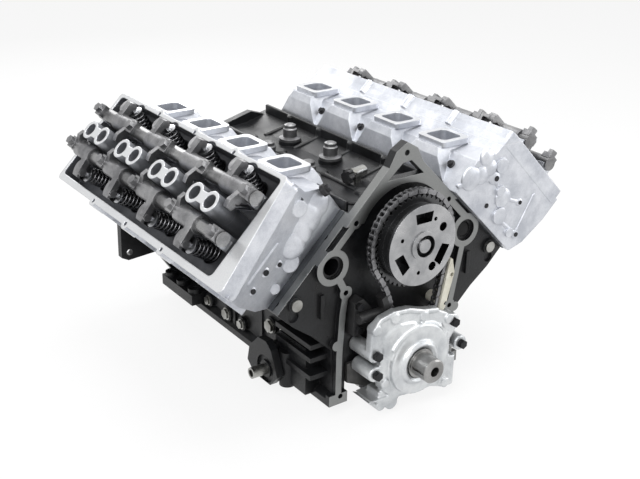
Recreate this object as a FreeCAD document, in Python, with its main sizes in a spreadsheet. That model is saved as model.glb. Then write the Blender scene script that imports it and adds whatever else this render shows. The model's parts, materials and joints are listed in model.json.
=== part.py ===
"""A complete ninety-degree V8 long block: castings, crank train, valve gear and timing drive.

Row frame, millimetres: the crank turns on the Y axis, +Y points to the flywheel end and +Z is up.
The origin is the centre of the crank's rear flange face. Looking from the front, the left bank
is the one at +X. Inside a bank, (u, y, w) are used: w runs up the bore, u points outward to the
exhaust side, y is the row's own Y.
"""
import FreeCAD, Part
import math
import os
import Sketcher

V = FreeCAD.Vector
X_AXIS = V(1, 0, 0)
Y_AXIS = V(0, 1, 0)
Z_AXIS = V(0, 0, 1)
FACING_FRONT = FreeCAD.Rotation(X_AXIS, 90)

SIZES = {
    "bank_angle": 45,
    "bore_radius": 49.75,
    "bore_pitch": 113.28,
    "bank_offset": 25.25,
    "first_cylinder": 58.3,
    "rear_margin": 95,
    "flange_proud": 12,
    "crank_throw": 45.45,
    "rod_length": 158,
    "deck_height": 235,
    "deck_outer": 72,
    "deck_inner": 105,
    "pan_rail_drop": 63,
    "pan_rail_half_width": 129,
    "pan_rail_thickness": 11,
    "skirt_half_width": 118,
    "crankcase_radius": 95,
    "main_radius": 32.5,
    "main_width": 27,
    "shell_thickness": 2.4,
    "bulkhead_width": 24,
    "pin_radius": 27,
    "rear_seal_radius": 46,
    "pin_width": 50,
    "counterweight_radius": 84,
    "oil_clearance": 0.05,
    "moving_gap": 0.3,
    "cam_height": 190.4,
    "cam_journal_radius": 29,
    "cam_base_radius": 18,
    "cam_lift": 8,
    "lobe_width": 13,
    "lifter_radius": 10.6,
    "lifter_angle": 17,
    "lifter_seat": 88,
    "front_wall": 15,
    "rim_height": 8,
    "rim_width": 11,
    "apex_height": 335,
    "rear_wall": 14,
    "water_port_radius": 18,
    "water_ring_radius": 28,
    "water_port_x": 127.5,
    "water_port_z": 169,
    "water_port_depth": 45,
    "water_port_seat": 5,
    "water_passage_radius": 13,
    "barrel_wall": 4.5,
    "gasket_thickness": 1,
    "left_rail_lead": 71.3,
    "right_rail_lead": 78.6,
    "rail_length": 500,
    "rail_slant": 31.5,
    "left_deck_lead": 68.3,
    "right_deck_lead": 50.5,
    "rail_height": 369,
    "rail_inner": 83,
    "rail_outer": 101,
    "rail_wall": 7,
    "pocket_floor": 335,
    "port_face_height": 300.3,
    "port_face_x": 142,
    "port_shift": 21,
    "port_wide": 40,
    "port_long": 45,
    "port_flange": 9,
    "port_runner_radius": 19,
    "runner_foot": 54,
    "land_radius": 82,
    "side_housing_x": 145,
    "filter_plate_x": 170,
    "filter_y": 114,
    "filter_drop": 37,
    "nipple_radius": 9,
    "exhaust_runner_radius": 16.5,
    "chamber_radius": 70,
    "chamber_depth": 20,
    "intake_tip_u": -64,
    "intake_tip_w": 379,
    "intake_lean": 18,
    "exhaust_tip_u": 66,
    "exhaust_tip_w": 379,
    "exhaust_lean": 16.5,
    "intake_valve_radius": 25.4,
    "exhaust_valve_radius": 19.7,
    "valve_length": 131,
    "stem_radius": 4,
    "valve_lift": 10,
    "retainer_radius": 12.5,
    "retainer_height": 7,
    "scoop_radius": 19.5,
    "scoop_wall": 3.5,
    "tip_height": 4,
    "spring_length": 43,
    "spring_top_radius": 13,
    "spring_seat_radius": 16.5,
    "spring_wire": 3.6,
    "intake_shaft_u": -35,
    "intake_shaft_w": 381,
    "exhaust_shaft_u": 35,
    "exhaust_shaft_w": 385,
    "rocker_shaft_radius": 11,
    "rocker_barrel_radius": 14.5,
    "pushrod_radius": 4,
    "cup_spacing": 45,
    "lifter_spacing": 26,
    "intake_cup_u": -9,
    "intake_cup_w": 388,
    "exhaust_cup_u": 17,
    "exhaust_cup_w": 393,
    "plug_spacing": 20.5,
    "tower_u": 3.5,
    "tower_height": 406.7,
    "tower_radius": 16.3,
    "tower_hole_radius": 11,
    "head_bolt_u": 59,
    "head_bolt_radius": 6,
    "piston_height": 31,
    "piston_clearance": 0.35,
    "wrist_pin_radius": 12,
    "rod_width": 23.5,
    "pilot_radius": 22,
    "pilot_depth": 11,
    "flange_bolt_circle": 40,
    "flange_bolt_radius": 5,
    "flange_radius": 48,
    "nose_radius": 19.5,
    "nose_reach": 89,
    "hub_radius": 24,
    "chain_plane": 20,
    "chain_width": 12,
    "chain_thickness": 8,
    "cam_sprocket_pitch": 76,
    "crank_sprocket_pitch": 38,
    "slack_bow_radius": 161,
    "slack_bow_x": -192,
    "slack_bow_z": 51.6,
    "phaser_disc_radius": 63,
    "phaser_housing_radius": 59,
    "phaser_face": 45.7,
    "pump_back": 30,
    "pump_front": 52,
    "rotor_depth": 12,
    "rotor_offset": 3.4,
    "rotor_tooth_circle": 38,
    "rotor_tooth_radius": 7.5,
    "rotor_ring_radius": 47,
    "rotor_clearance": 0.5,
}

doc = FreeCAD.newDocument("EngineV8")
sheet = doc.addObject("Spreadsheet::Sheet", "Sizes")
for row, (alias, value) in enumerate(SIZES.items(), start=1):
    sheet.set(f"A{row}", alias)
    sheet.set(f"B{row}", str(value))
    sheet.setAlias(f"B{row}", alias)
doc.recompute()


def size(alias):
    """The value of one driving dimension, read from the sheet."""
    return float(sheet.get(alias))


CYLINDERS = 4
PITCH = size("bore_pitch")
BLOCK_LENGTH = (
    size("first_cylinder") + (CYLINDERS - 1) * PITCH + size("bank_offset") + size("rear_margin")
)
FRONT = -(BLOCK_LENGTH + size("flange_proud"))
REAR = FRONT + BLOCK_LENGTH
CASTING_FRONT = FRONT + size("rim_height")
SEATED = 0.02
SHELL = size("main_radius") + size("oil_clearance") + size("shell_thickness")
LEFT_CYLINDERS = [FRONT + size("first_cylinder") + i * PITCH for i in range(CYLINDERS)]
RIGHT_CYLINDERS = [y + size("bank_offset") for y in LEFT_CYLINDERS]
PINS = [y + size("bank_offset") / 2 for y in LEFT_CYLINDERS]
MAINS = [PINS[0] - PITCH / 2 + i * PITCH for i in range(CYLINDERS + 1)]
PIN_ANGLES = [45, 135, 315, 225]
DECK_TOP = size("deck_height") + size("gasket_thickness")
SIDES = {"left": LEFT_CYLINDERS, "right": RIGHT_CYLINDERS}
RAIL_FRONTS = {side: SIDES[side][0] - size(side + "_rail_lead") for side in SIDES}
RAIL_REARS = {side: RAIL_FRONTS[side] + size("rail_length") for side in SIDES}
HEAD_SPANS = {
    side: (max(FRONT + 0.5, SIDES[side][0] - 62), min(RAIL_REARS[side], SIDES[side][-1] + 72))
    for side in SIDES
}


# ---------------------------------------------------------------- small shape helpers

def unit(degrees):
    """Direction in a cross-section, measured from straight up towards +x."""
    angle = math.radians(degrees)
    return math.sin(angle), math.cos(angle)


def face_of(points):
    """A flat face in the X-Z plane through (x, z) points."""
    corners = [V(x, 0, z) for x, z in points]
    return Part.Face(Part.makePolygon(corners + corners[:1]))


def prism(points, start, end):
    """An X-Z outline carried from y = start to y = end."""
    face = face_of(points)
    face.translate(V(0, start, 0))
    return face.extrude(V(0, end - start, 0))


def rod(start, end, radius):
    """A round bar between two points."""
    return Part.makeCylinder(radius, (end - start).Length, start, end - start)


def along_y(x, z, start, end, radius):
    """A round bar parallel to the crank."""
    return Part.makeCylinder(radius, end - start, V(x, start, z), Y_AXIS)


def capsule(a, b, start, end, width):
    """A straight rib with round ends between two (x, z) points."""
    direction = V(b[0] - a[0], 0, b[1] - a[1])
    across = direction.cross(Y_AXIS).normalize() * (width / 2)
    corners = [
        (a[0] + across.x, a[1] + across.z),
        (b[0] + across.x, b[1] + across.z),
        (b[0] - across.x, b[1] - across.z),
        (a[0] - across.x, a[1] - across.z),
    ]
    return prism(corners, start, end)


def box(low, high):
    """A box between two opposite corners."""
    return Part.makeBox(high[0] - low[0], high[1] - low[1], high[2] - low[2], V(*low))


def joined(shapes):
    """One clean solid from overlapping solids."""
    return shapes[0].multiFuse(shapes[1:]).removeSplitter()


def mirrored_x(points):
    """A closed outline from its +x half, listed from top to bottom."""
    return points + [(-x, z) for x, z in reversed(points) if x > 0]


def hex_points(across_flats):
    """The corners of a hexagon."""
    radius = across_flats / math.sqrt(3)
    return [(radius * unit(60 * i)[0], radius * unit(60 * i)[1]) for i in range(6)]


def bolt(seat, direction, shank_radius, shank_length, flats, head_height):
    """A hexagon bolt: seat is the point under its head, direction points into the work."""
    direction = V(direction).normalize()
    head = face_of(hex_points(flats))
    head = head.extrude(V(0, -head_height, 0))
    shank = Part.makeCylinder(shank_radius, shank_length, V(0, 0, 0), Y_AXIS)
    shape = head.fuse(shank)
    shape.Placement = FreeCAD.Placement(V(seat), FreeCAD.Rotation(Y_AXIS, direction))
    return shape


def bank_point(side, u, y, w):
    """A bank's (u, y, w) as a row point."""
    angle = math.radians(size("bank_angle"))
    x = u * math.cos(angle) + w * math.sin(angle)
    z = w * math.cos(angle) - u * math.sin(angle)
    return V(x if side == "left" else -x, y, z)


def in_bank(side, shape):
    """Carries a shape made in (u, y, w) into its bank."""
    turned = shape.copy()
    turned.rotate(V(0, 0, 0), Y_AXIS, size("bank_angle"))
    if side == "right":
        turned = turned.mirror(V(0, 0, 0), X_AXIS)
    return turned


def row_to_bank(x, z):
    """The (u, w) of a cross-section point given in the left bank's row coordinates."""
    angle = math.radians(size("bank_angle"))
    return (
        x * math.cos(angle) - z * math.sin(angle),
        x * math.sin(angle) + z * math.cos(angle),
    )


# ---------------------------------------------------------------- document helpers

NODES = []


def keep(node, shape):
    """Adds a sub-part whose shape was made with Part's own functions."""
    feature = doc.addObject("Part::Feature", node)
    feature.Label = node
    feature.Shape = shape
    NODES.append(feature)
    return feature


def group(node, shapes):
    """One node that holds several separate solids."""
    solids = []
    for shape in shapes:
        solids.extend(shape.Solids)
    return keep(node, Part.makeCompound(solids))


def new_body(name):
    """An empty PartDesign body with its XY plane."""
    body = doc.addObject("PartDesign::Body", name)
    planes = {plane.Role: plane for plane in body.Origin.OriginFeatures}
    return body, planes["XY_Plane"]


def add_sketch(body, plane, name, outline, circles=()):
    """A sketch of one closed outline and circles given as (x, y, radius or alias)."""
    sketch = body.newObject("Sketcher::SketchObject", name)
    sketch.AttachmentSupport = [(plane, "")]
    sketch.MapMode = "FlatFace"
    for start, end in zip(outline, outline[1:] + outline[:1]):
        line = Part.LineSegment(V(start[0], start[1], 0), V(end[0], end[1], 0))
        sketch.addGeometry(line, False)
    for x, y, radius in circles:
        value = size(radius) if isinstance(radius, str) else radius
        index = sketch.addGeometry(Part.Circle(V(x, y, 0), Z_AXIS, value), False)
        if isinstance(radius, str):
            held = sketch.addConstraint(Sketcher.Constraint("Radius", index, value))
            sketch.setExpression(f"Constraints[{held}]", f"Sizes.{radius}")
    return sketch


def padded(name, outline, length, circles=()):
    """A body with one pad along +z; length is an expression of the sheet."""
    body, plane = new_body(name)
    sketch = add_sketch(body, plane, name + "_outline", list(outline), circles)
    pad = body.newObject("PartDesign::Pad", name + "_pad")
    pad.Profile = sketch
    pad.setExpression("Length", length)
    sketch.Visibility = False
    doc.recompute()
    return body


def pocketed(body, name, outline, depth, circles=()):
    """Cuts an outline into a body from its XY plane, along +z."""
    planes = {plane.Role: plane for plane in body.Origin.OriginFeatures}
    before = body.Shape.Volume
    sketch = add_sketch(body, planes["XY_Plane"], name + "_outline", list(outline), circles)
    pocket = body.newObject("PartDesign::Pocket", name)
    pocket.Profile = sketch
    pocket.setExpression("Length", depth)
    pocket.Reversed = True
    doc.recompute()
    if not body.Shape.Volume < before:
        raise RuntimeError(name + " cut nothing")
    return body


def revolved(name, profile):
    """A body turned about its y axis from a closed (radius, y) profile."""
    body, plane = new_body(name)
    sketch = add_sketch(body, plane, name + "_profile", list(profile))
    turned = body.newObject("PartDesign::Revolution", name + "_turned")
    turned.Profile = sketch
    turned.ReferenceAxis = (sketch, ["V_Axis"])
    turned.Angle = 360
    doc.recompute()
    return body


def placed(shape, base, rotation):
    """A copy of a shape at a place."""
    copy = shape.copy()
    copy.Placement = FreeCAD.Placement(base, rotation)
    return copy


# ---------------------------------------------------------------- shared places

def valve_axis(kind):
    """Direction from the valve head to its tip, in (u, 0, w)."""
    lean = math.radians(size(kind + "_lean"))
    sign = -1 if kind == "intake" else 1
    return V(sign * math.sin(lean), 0, math.cos(lean))


def valve_tip(kind):
    """The tip of a closed valve, in (u, 0, w)."""
    return V(size(kind + "_tip_u"), 0, size(kind + "_tip_w"))


def cup_point(kind):
    """Where the pushrod meets its rocker, in (u, 0, w)."""
    return V(size(kind + "_cup_u"), 0, size(kind + "_cup_w"))


def cup_y(kind, cylinder):
    """Row y of a pushrod's upper end: intake ahead of the bore centre, exhaust behind it."""
    sign = -1 if kind == "intake" else 1
    return cylinder + sign * size("cup_spacing")


def lifter_y(kind, cylinder):
    """Row y of a lifter and its cam lobe."""
    sign = -1 if kind == "intake" else 1
    return cylinder + sign * size("lifter_spacing")


def lifter_point(distance):
    """A point on the lifter axis of the left bank, at a distance from the cam centre."""
    angle = math.radians(size("lifter_angle"))
    x = distance * math.cos(angle)
    z = size("cam_height") + distance * math.sin(angle)
    return x, z


def pushrod_ends(kind, cylinder):
    """Lower and upper end of a pushrod in (u, y, w)."""
    u, w = row_to_bank(*lifter_point(size("lifter_seat")))
    cup = cup_point(kind)
    return V(u, lifter_y(kind, cylinder), w), V(cup.x, cup_y(kind, cylinder), cup.z)


def head_bolt_rows(cylinders):
    """Row y of the head bolts: before, between and after the bores."""
    rows = [y - PITCH / 2 for y in cylinders]
    return rows + [cylinders[-1] + PITCH / 2]


# ---------------------------------------------------------------- block

APEX_BOLT = (0, size("apex_height") - 16.3)
WATER_PORT = (size("water_port_x"), size("water_port_z"))
FOOT_BOLT = (108, -50)
SHOULDER_BOLT = (88, 229)
RING_PLUG = (188, 125)
PUMP_BOLTS = [(-77, 31), (-76, -2), (74, 44), (93, 0)]
PUMP_SEATS = [CASTING_FRONT - SEATED if z > 20 else FRONT + 2 for x, z in PUMP_BOLTS]
TENSIONER_BOLTS = [(-88, 102), (-88, 64)]
TIMING_BOSSES = {1: (105, 44.5), -1: (-103, 123)}
SOLENOIDS = [(42, 242), (42, 361), (-42, 185), (-42, 300)]
SOLENOID_PAD = 233


def rim_path(sign):
    """One half of the timing cover's sealing rim, from its crown down to the pan rail."""
    drop = size("pan_rail_drop")
    middle = [(105, 44.5), (112, 22)] if sign > 0 else [(-103, 123), (-108, 90), (-112, 22)]
    top = [APEX_BOLT, (sign * WATER_PORT[0], WATER_PORT[1] + 22), (sign * WATER_PORT[0], WATER_PORT[1])]
    return top + middle + [(sign * 112, -drop + 8)]


def bank_corner(u, w):
    """Cross-section point (x, z) of a bank's (u, w) on the left side."""
    point = bank_point("left", u, 0, w)
    return point.x, point.z


SIDE_PLUGS = [(168, 1, 12), (126, 14, 8), (257, -35, 9), (305, -36, 11), (367, -36, 9)]


def side_forms(skirt):
    """What stands out from the skirts: filter pad, ribbed oil housing, mount lugs and bosses."""
    parts = []
    drop = size("filter_drop")
    plate = [(80, -38), (98, 2), (112, 12), (134, 10), (160, -16), (166, -44), (148, -60),
             (100, -60)]
    corners = [V(-size("filter_plate_x"), FRONT + y, z) for y, z in plate]
    plate = Part.Face(Part.makePolygon(corners + corners[:1])).extrude(V(13, 0, 0))
    parts.append(plate)
    neck = V(-size("filter_plate_x") + 5, FRONT + size("filter_y") + 6, -drop + 10)
    parts.append(Part.makeCylinder(27, 60, neck, X_AXIS))
    reach = size("side_housing_x")
    parts.append(box((-reach, FRONT + 40, -56), (-skirt + 8, FRONT + 112, 24)))
    parts.append(Part.makeCylinder(13, 60, V(-reach + 2, FRONT + 92, -62), Z_AXIS))
    for z in (38, 16, -14):
        parts.append(box((-reach - 7, FRONT + 18, z - 4), (-skirt + 8, FRONT + 112, z + 4)))
    for sign in (-1, 1):
        lug = box((-150, FRONT + 383, -48), (-skirt + 4, FRONT + 494, -28))
        posts = [Part.makeCylinder(12, 28, V(-137, FRONT + y, -48), Z_AXIS)
                 for y in (396, 438, 480)]
        lug = joined([lug] + posts)
        holes = [Part.makeCylinder(5, 40, V(-137, FRONT + y, -50), Z_AXIS)
                 for y in (396, 438, 480)]
        lug = lug.cut(Part.makeCompound(holes))
        parts.append(lug if sign < 0 else lug.mirror(V(0, 0, 0), X_AXIS))
        for y, z, radius in SIDE_PLUGS:
            start = V(sign * (skirt + 7), FRONT + y, z)
            parts.append(Part.makeCylinder(radius + 3, 30, start, X_AXIS * -sign))
        for y in (200, 285, 440):
            rib = box((-skirt - 5, FRONT + y - 4, -52), (-skirt + 6, FRONT + y + 4, 58))
            parts.append(rib if sign < 0 else rib.mirror(V(0, 0, 0), X_AXIS))
    return parts


def cylinder_block():
    """Deep-skirt block: two banks, open crankcase with five bulkheads, cam tunnel and end walls."""
    deck = size("deck_height")
    drop = size("pan_rail_drop")
    skirt = size("skirt_half_width")
    rail = size("pan_rail_half_width")
    cam_z = size("cam_height")
    tunnel = size("cam_journal_radius") + size("moving_gap")
    valley = cam_z + tunnel + 5
    section = mirrored_x([
        (0, valley),
        (40, valley + 2),
        bank_corner(-size("deck_inner"), deck),
        bank_corner(size("deck_outer"), deck),
        bank_corner(size("deck_outer"), deck - 38),
        bank_corner(size("deck_outer") - 6, deck - 80),
        (skirt + 4, 30),
        (skirt, -drop + size("pan_rail_thickness") + 8),
        (rail, -drop + size("pan_rail_thickness")),
        (rail, -drop),
    ])
    casting = prism(section, CASTING_FRONT, REAR)

    # front web up to its apex, with the machined rim that the timing cover seals on
    outer_deck = bank_corner(size("deck_outer"), deck)
    apex = size("apex_height")
    web = mirrored_x([
        (0, apex),
        (20, apex - 12),
        (32, deck * math.sqrt(2) - 32),
        (outer_deck[0] - 50, outer_deck[1] + 50),
        (0, valley - 60),
    ])
    parts = [casting, prism(web, CASTING_FRONT, FRONT + size("front_wall"))]
    rim = size("rim_width")
    for sign in (-1, 1):
        path = rim_path(sign)
        for start, end in zip(path, path[1:]):
            parts.append(capsule(start, end, FRONT, CASTING_FRONT + 1, rim))
        for x, z in path[3:-1]:
            parts.append(along_y(x, z, FRONT, CASTING_FRONT + 1, rim / 2))
        parts.append(along_y(sign * WATER_PORT[0], WATER_PORT[1], FRONT, CASTING_FRONT + 1,
                             size("water_ring_radius")))
        parts.append(along_y(*TIMING_BOSSES[sign], FRONT, CASTING_FRONT + 1, rim))
        foot = prism([(sign * 92, -drop), (sign * rail, -drop), (sign * rail, -drop + 18),
                      (sign * 92, -drop + 18)], FRONT, CASTING_FRONT + 1)
        parts.append(foot)
    parts.append(along_y(*APEX_BOLT, FRONT, CASTING_FRONT + 1, 14))
    land = prism(web, FRONT, CASTING_FRONT + 1)
    land = land.cut(along_y(0, cam_z, FRONT - 1, CASTING_FRONT + 2, size("land_radius")))
    land = land.cut(box((-200, FRONT - 1, 0), (200, CASTING_FRONT + 2, 226)))
    parts.append(land)
    for sign in (-1, 1):
        parts.append(along_y(sign * SHOULDER_BOLT[0], SHOULDER_BOLT[1], FRONT, CASTING_FRONT + 1, 9))
        parts.append(along_y(sign * 117, 39, FRONT, CASTING_FRONT + 1, 8))
        parts.append(along_y(sign * RING_PLUG[0], RING_PLUG[1], FRONT + 4, CASTING_FRONT + 1, 12))
        parts.append(capsule((sign * 142, 128), (sign * 142, 90), FRONT + 3, CASTING_FRONT + 1, 7))
    parts.append(along_y(0, 0, FRONT + 1, CASTING_FRONT + 1, SHELL + 12))

    # bell housing flange and its ears
    flange = mirrored_x([
        (0, valley + 8),
        (52, valley + 22),
        bank_corner(-size("deck_inner") + 12, deck - 1),
        bank_corner(size("deck_outer"), deck - 1),
        (222, 78),
        (223, 17),
        (210, 10),
        (154, 14),
        (skirt, -drop + 24),
        (rail, -drop + size("pan_rail_thickness")),
        (rail, -drop),
    ])
    parts.append(prism(flange, REAR - size("rear_wall"), REAR))

    parts += side_forms(skirt)
    for x, y in SOLENOIDS:
        parts.append(rod(V(x, FRONT + y, valley - 6), V(x, FRONT + y, SOLENOID_PAD), 20))
    block = joined(parts)

    tools = []
    # crankcase bays between the bulkheads
    bay_half = size("bulkhead_width") / 2
    for rear_of, front_of in zip(MAINS, MAINS[1:]):
        start, end = rear_of + bay_half, front_of - bay_half
        tools.append(along_y(0, 0, start, end, size("crankcase_radius")))
        tools.append(box((-size("crankcase_radius"), start, -drop - 5),
                         (size("crankcase_radius"), end, 0)))
    # the caps' space under each bulkhead, and the main tunnel
    tools.append(box((-size("crankcase_radius"), FRONT - 5, -drop - 5),
                     (size("crankcase_radius"), MAINS[4] + bay_half, 0)))
    tools.append(along_y(0, 0, FRONT - 5, MAINS[4] + bay_half, SHELL))
    tools.append(along_y(0, 0, MAINS[4], REAR + 5, size("rear_seal_radius") + 2.5))
    # cam tunnel with the sensor window over it
    tools.append(along_y(0, cam_z, FRONT - 5, REAR - 8, tunnel))
    tools.append(prism([(-33, 282), (34, 282), (9, 306), (-7, 304)], FRONT - 5, FRONT + 60))
    tools.append(along_y(*APEX_BOLT, FRONT - 5, FRONT + 60, 4.5))
    for side, cylinders in SIDES.items():
        # each coolant port has a round seat, and behind it a narrower passage that opens
        # onto the barrel of the first bore
        sign = 1 if side == "left" else -1
        tools.append(along_y(sign * WATER_PORT[0], WATER_PORT[1], FRONT - 5,
                             FRONT + size("water_port_seat"), size("water_port_radius")))
        passage = along_y(sign * WATER_PORT[0], WATER_PORT[1], FRONT,
                          FRONT + size("water_port_depth"), size("water_passage_radius"))
        barrel = Part.makeCylinder(size("bore_radius") + size("barrel_wall"), deck,
                                   V(0, cylinders[0], 0), Z_AXIS)
        tools.append(passage.cut(in_bank(side, barrel)))
    for sign in (-1, 1):
        for x, z in ((207, 25), (178, 132)):
            tools.append(along_y(sign * x, z, REAR - 40, REAR + 5, 6))
    for sign in (-1, 1):
        for x, z in ((sign * SHOULDER_BOLT[0], SHOULDER_BOLT[1]),
                     (sign * FOOT_BOLT[0], FOOT_BOLT[1]), TIMING_BOSSES[sign]):
            tools.append(along_y(x, z, FRONT - 5, FRONT + 24, 4.2))
        tools.append(along_y(sign * 190, 105, FRONT, CASTING_FRONT + 4, 9))
    for (x, z), seat in zip(PUMP_BOLTS, PUMP_SEATS):
        if seat > FRONT + 3:
            tools.append(along_y(x, z, FRONT, CASTING_FRONT + 16, 4.2))
    for x, z in TENSIONER_BOLTS:
        tools.append(along_y(x, z, FRONT, CASTING_FRONT + 16, 3.3))
    # the oil filter's inlet ring
    face = V(-size("filter_plate_x"), FRONT + size("filter_y"), -size("filter_drop"))
    ring = Part.makeCylinder(23, 4, face, X_AXIS)
    tools.append(ring.cut(Part.makeCylinder(14, 4, face, X_AXIS)))

    for side, cylinders in SIDES.items():
        above = box((-size("deck_inner") - 8, FRONT - 5, deck), (200, REAR + 5, deck + 60))
        tools.append(in_bank(side, above))
        for y in cylinders:
            bore = Part.makeCylinder(size("bore_radius"), deck - 55, V(0, y, 60), Z_AXIS)
            tools.append(in_bank(side, bore))
            for kind in ("intake", "exhaust"):
                x, z = lifter_point(size("lifter_seat") + 4)
                sign = 1 if side == "left" else -1
                start = V(0, lifter_y(kind, y), cam_z)
                end = V(sign * x, lifter_y(kind, y), z)
                tools.append(rod(start, end, size("lifter_radius") + size("moving_gap")))
                low, high = pushrod_ends(kind, y)
                reach = low + (high - low) * 0.3
                passage = rod(low, reach, size("pushrod_radius") + 2.2)
                tools.append(in_bank(side, passage))
        for y in head_bolt_rows(cylinders):
            for u in (-size("head_bolt_u"), size("head_bolt_u")):
                if FRONT + 8 < y < REAR - 8:
                    hole = Part.makeCylinder(size("head_bolt_radius") + 0.2, 42,
                                             V(u, y, deck + 1), Z_AXIS * -1)
                    tools.append(in_bank(side, hole))
    return block.cut(Part.makeCompound(tools))


keep("cylinder_block", cylinder_block())


# ---------------------------------------------------------------- bottom end

CAP_BOTTOM = -51


def main_bearing_caps():
    """Five deep cross-bolted caps that close the main bores from below."""
    half = size("crankcase_radius") - size("moving_gap")
    outline = [
        (-half, 0),
        (-half, -32),
        (-56, CAP_BOTTOM),
        (56, CAP_BOTTOM),
        (half, -32),
        (half, 0),
    ]
    body = padded("main_cap", outline, "Sizes.bulkhead_width")
    pocketed(body, "main_cap_bore", [], "Sizes.bulkhead_width", [(0, 0, SHELL)])
    half_width = size("bulkhead_width") / 2
    cap = body.Shape
    for sign in (-1, 1):
        cap = cap.cut(Part.makeCylinder(5.7, 60, V(sign * 48, 0, half_width), Y_AXIS * -1))
    return [placed(cap, V(0, y + half_width, 0), FACING_FRONT) for y in MAINS]


def main_cap_bolts():
    """Two vertical bolts in each main cap."""
    bolts = []
    for y in MAINS:
        for sign in (-1, 1):
            bolts.append(bolt((sign * 48, y, CAP_BOTTOM - 0.02), Z_AXIS, 5.5, 50, 18, 10))
    return bolts


def main_bearings():
    """Thin shells between the main journals and their bores."""
    inner = size("main_radius") + size("oil_clearance")
    width = size("bulkhead_width") - 2
    profile = [
        (inner, -width / 2),
        (SHELL, -width / 2),
        (SHELL, width / 2),
        (inner, width / 2),
    ]
    shell = revolved("main_shell", profile).Shape
    return [placed(shell, V(0, y, 0), FreeCAD.Rotation()) for y in MAINS]


def crank_web():
    """A crank cheek with its pin at +z and a sector counterweight below."""
    throw = size("crank_throw")
    cheek = size("pin_radius") + 9
    hub = size("main_radius") + 8
    weight = size("counterweight_radius")
    sector = [(0, 12)]
    sector += [(weight * unit(a)[0], weight * unit(a)[1]) for a in range(112, 249, 8)]
    points = [(-cheek, throw), (-hub - 2, 0), (hub + 2, 0), (cheek, throw)]
    body = padded("crank_web", points, "(Sizes.bore_pitch-Sizes.main_width-Sizes.pin_width)/2")
    length = (PITCH - size("main_width") - size("pin_width")) / 2
    pin_end = Part.makeCylinder(cheek, length, V(0, throw, 0), Z_AXIS)
    fan = Part.Face(Part.makePolygon([V(x, y, 0) for x, y in sector + sector[:1]]))
    return body.Shape.fuse(pin_end).fuse(fan.extrude(V(0, 0, length))).removeSplitter()


def crankshaft():
    """Cross-plane crank: five mains, four pins, eight cheeks, rear flange and a long nose."""
    main_half = size("main_width") / 2
    pin_half = size("pin_width") / 2
    web = crank_web()
    parts = []
    for index, pin_y in enumerate(PINS):
        angle = PIN_ANGLES[index]
        x, z = (size("crank_throw") * part for part in unit(angle))
        parts.append(along_y(x, z, pin_y - pin_half, pin_y + pin_half, size("pin_radius")))
        for y in (pin_y - pin_half, MAINS[index + 1] - main_half):
            cheek = placed(web, V(0, y, 0), FACING_FRONT)
            cheek.rotate(V(0, y, 0), Y_AXIS, angle)
            parts.append(cheek)
    for y in MAINS:
        parts.append(along_y(0, 0, y - main_half, y + main_half, size("main_radius")))
    seal = size("rear_seal_radius")
    parts.append(along_y(0, 0, MAINS[4] + main_half, REAR - 6, 40))
    parts.append(along_y(0, 0, REAR - 26, REAR - 1, seal))
    parts.append(along_y(0, 0, REAR - 2, REAR + 2, seal))
    parts.append(along_y(0, 0, REAR + 1, 0, size("flange_radius")))
    nose_root = FRONT - size("pump_front") - 6
    parts.append(along_y(0, 0, nose_root, MAINS[0], size("hub_radius")))
    tip = FRONT - size("nose_reach")
    snout = along_y(0, 0, tip, nose_root, size("nose_radius"))
    end_edges = [edge for edge in snout.Edges if abs(edge.CenterOfMass.y - tip) < 0.01]
    parts.append(snout.makeChamfer(2.5, end_edges))
    crank = joined(parts)
    tools = [along_y(0, 0, -size("pilot_depth"), 1, size("pilot_radius"))]
    tools.append(along_y(0, 0, tip - 1, tip + 45, 8))
    for step in range(8):
        x, z = (size("flange_bolt_circle") * part for part in unit(45 * step + 22.5))
        tools.append(along_y(x, z, REAR - 30, 1, size("flange_bolt_radius")))
    tools.append(box((-size("nose_radius") - 1, tip + 4, -2.4),
                     (-size("nose_radius") + 4, nose_root - 1, 2.4)))
    return crank.cut(Part.makeCompound(tools))


def crank_sprocket():
    """Toothed wheel on the crank hub, in the plane of the chain."""
    teeth = 22
    tip = size("crank_sprocket_pitch") - size("chain_thickness") / 2 - size("moving_gap")
    points = []
    for tooth in range(teeth):
        for part, radius in ((0, tip - 5), (0.28, tip), (0.62, tip)):
            angle = 360 / teeth * (tooth + part)
            points.append((radius * unit(angle)[0], radius * unit(angle)[1]))
    wheel = padded("crank_wheel", points, "Sizes.chain_width", [(0, 0, "hub_radius")])
    back = FRONT - size("chain_plane") + size("chain_width") / 2
    return placed(wheel.Shape, V(0, back, 0), FACING_FRONT)


def piston():
    """Flat-topped piston with a slipper skirt, made about its y axis with the pin at zero."""
    radius = size("bore_radius") - size("piston_clearance")
    top = size("piston_height")
    profile = [
        (0, top),
        (radius, top),
        (radius, -22),
        (radius - 5, -22),
        (radius - 5, 18),
        (0, 23),
    ]
    crown = revolved("piston_crown", profile).Shape
    boss = Part.makeBox(44, 36, 2 * radius - 22, V(-22, -14, 11 - radius))
    boss = boss.common(Part.makeCylinder(radius - 1, 60, V(0, -30, 0), Y_AXIS))
    crown = crown.fuse(boss)
    gap = size("rod_width") + 3.5
    slot = Part.makeBox(60, 43.5, gap, V(-30, -24, -gap / 2))
    pin = Part.makeCylinder(size("wrist_pin_radius") + 0.02, 120, V(0, 0, -60), Z_AXIS)
    crown = crown.cut(slot).cut(pin)
    for sign in (-1, 1):
        low = -60 if sign < 0 else radius - 14
        crown = crown.cut(Part.makeBox(120, 30, 60 - radius + 14, V(-60, -22.5, low)))
    return crown.removeSplitter()


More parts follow.
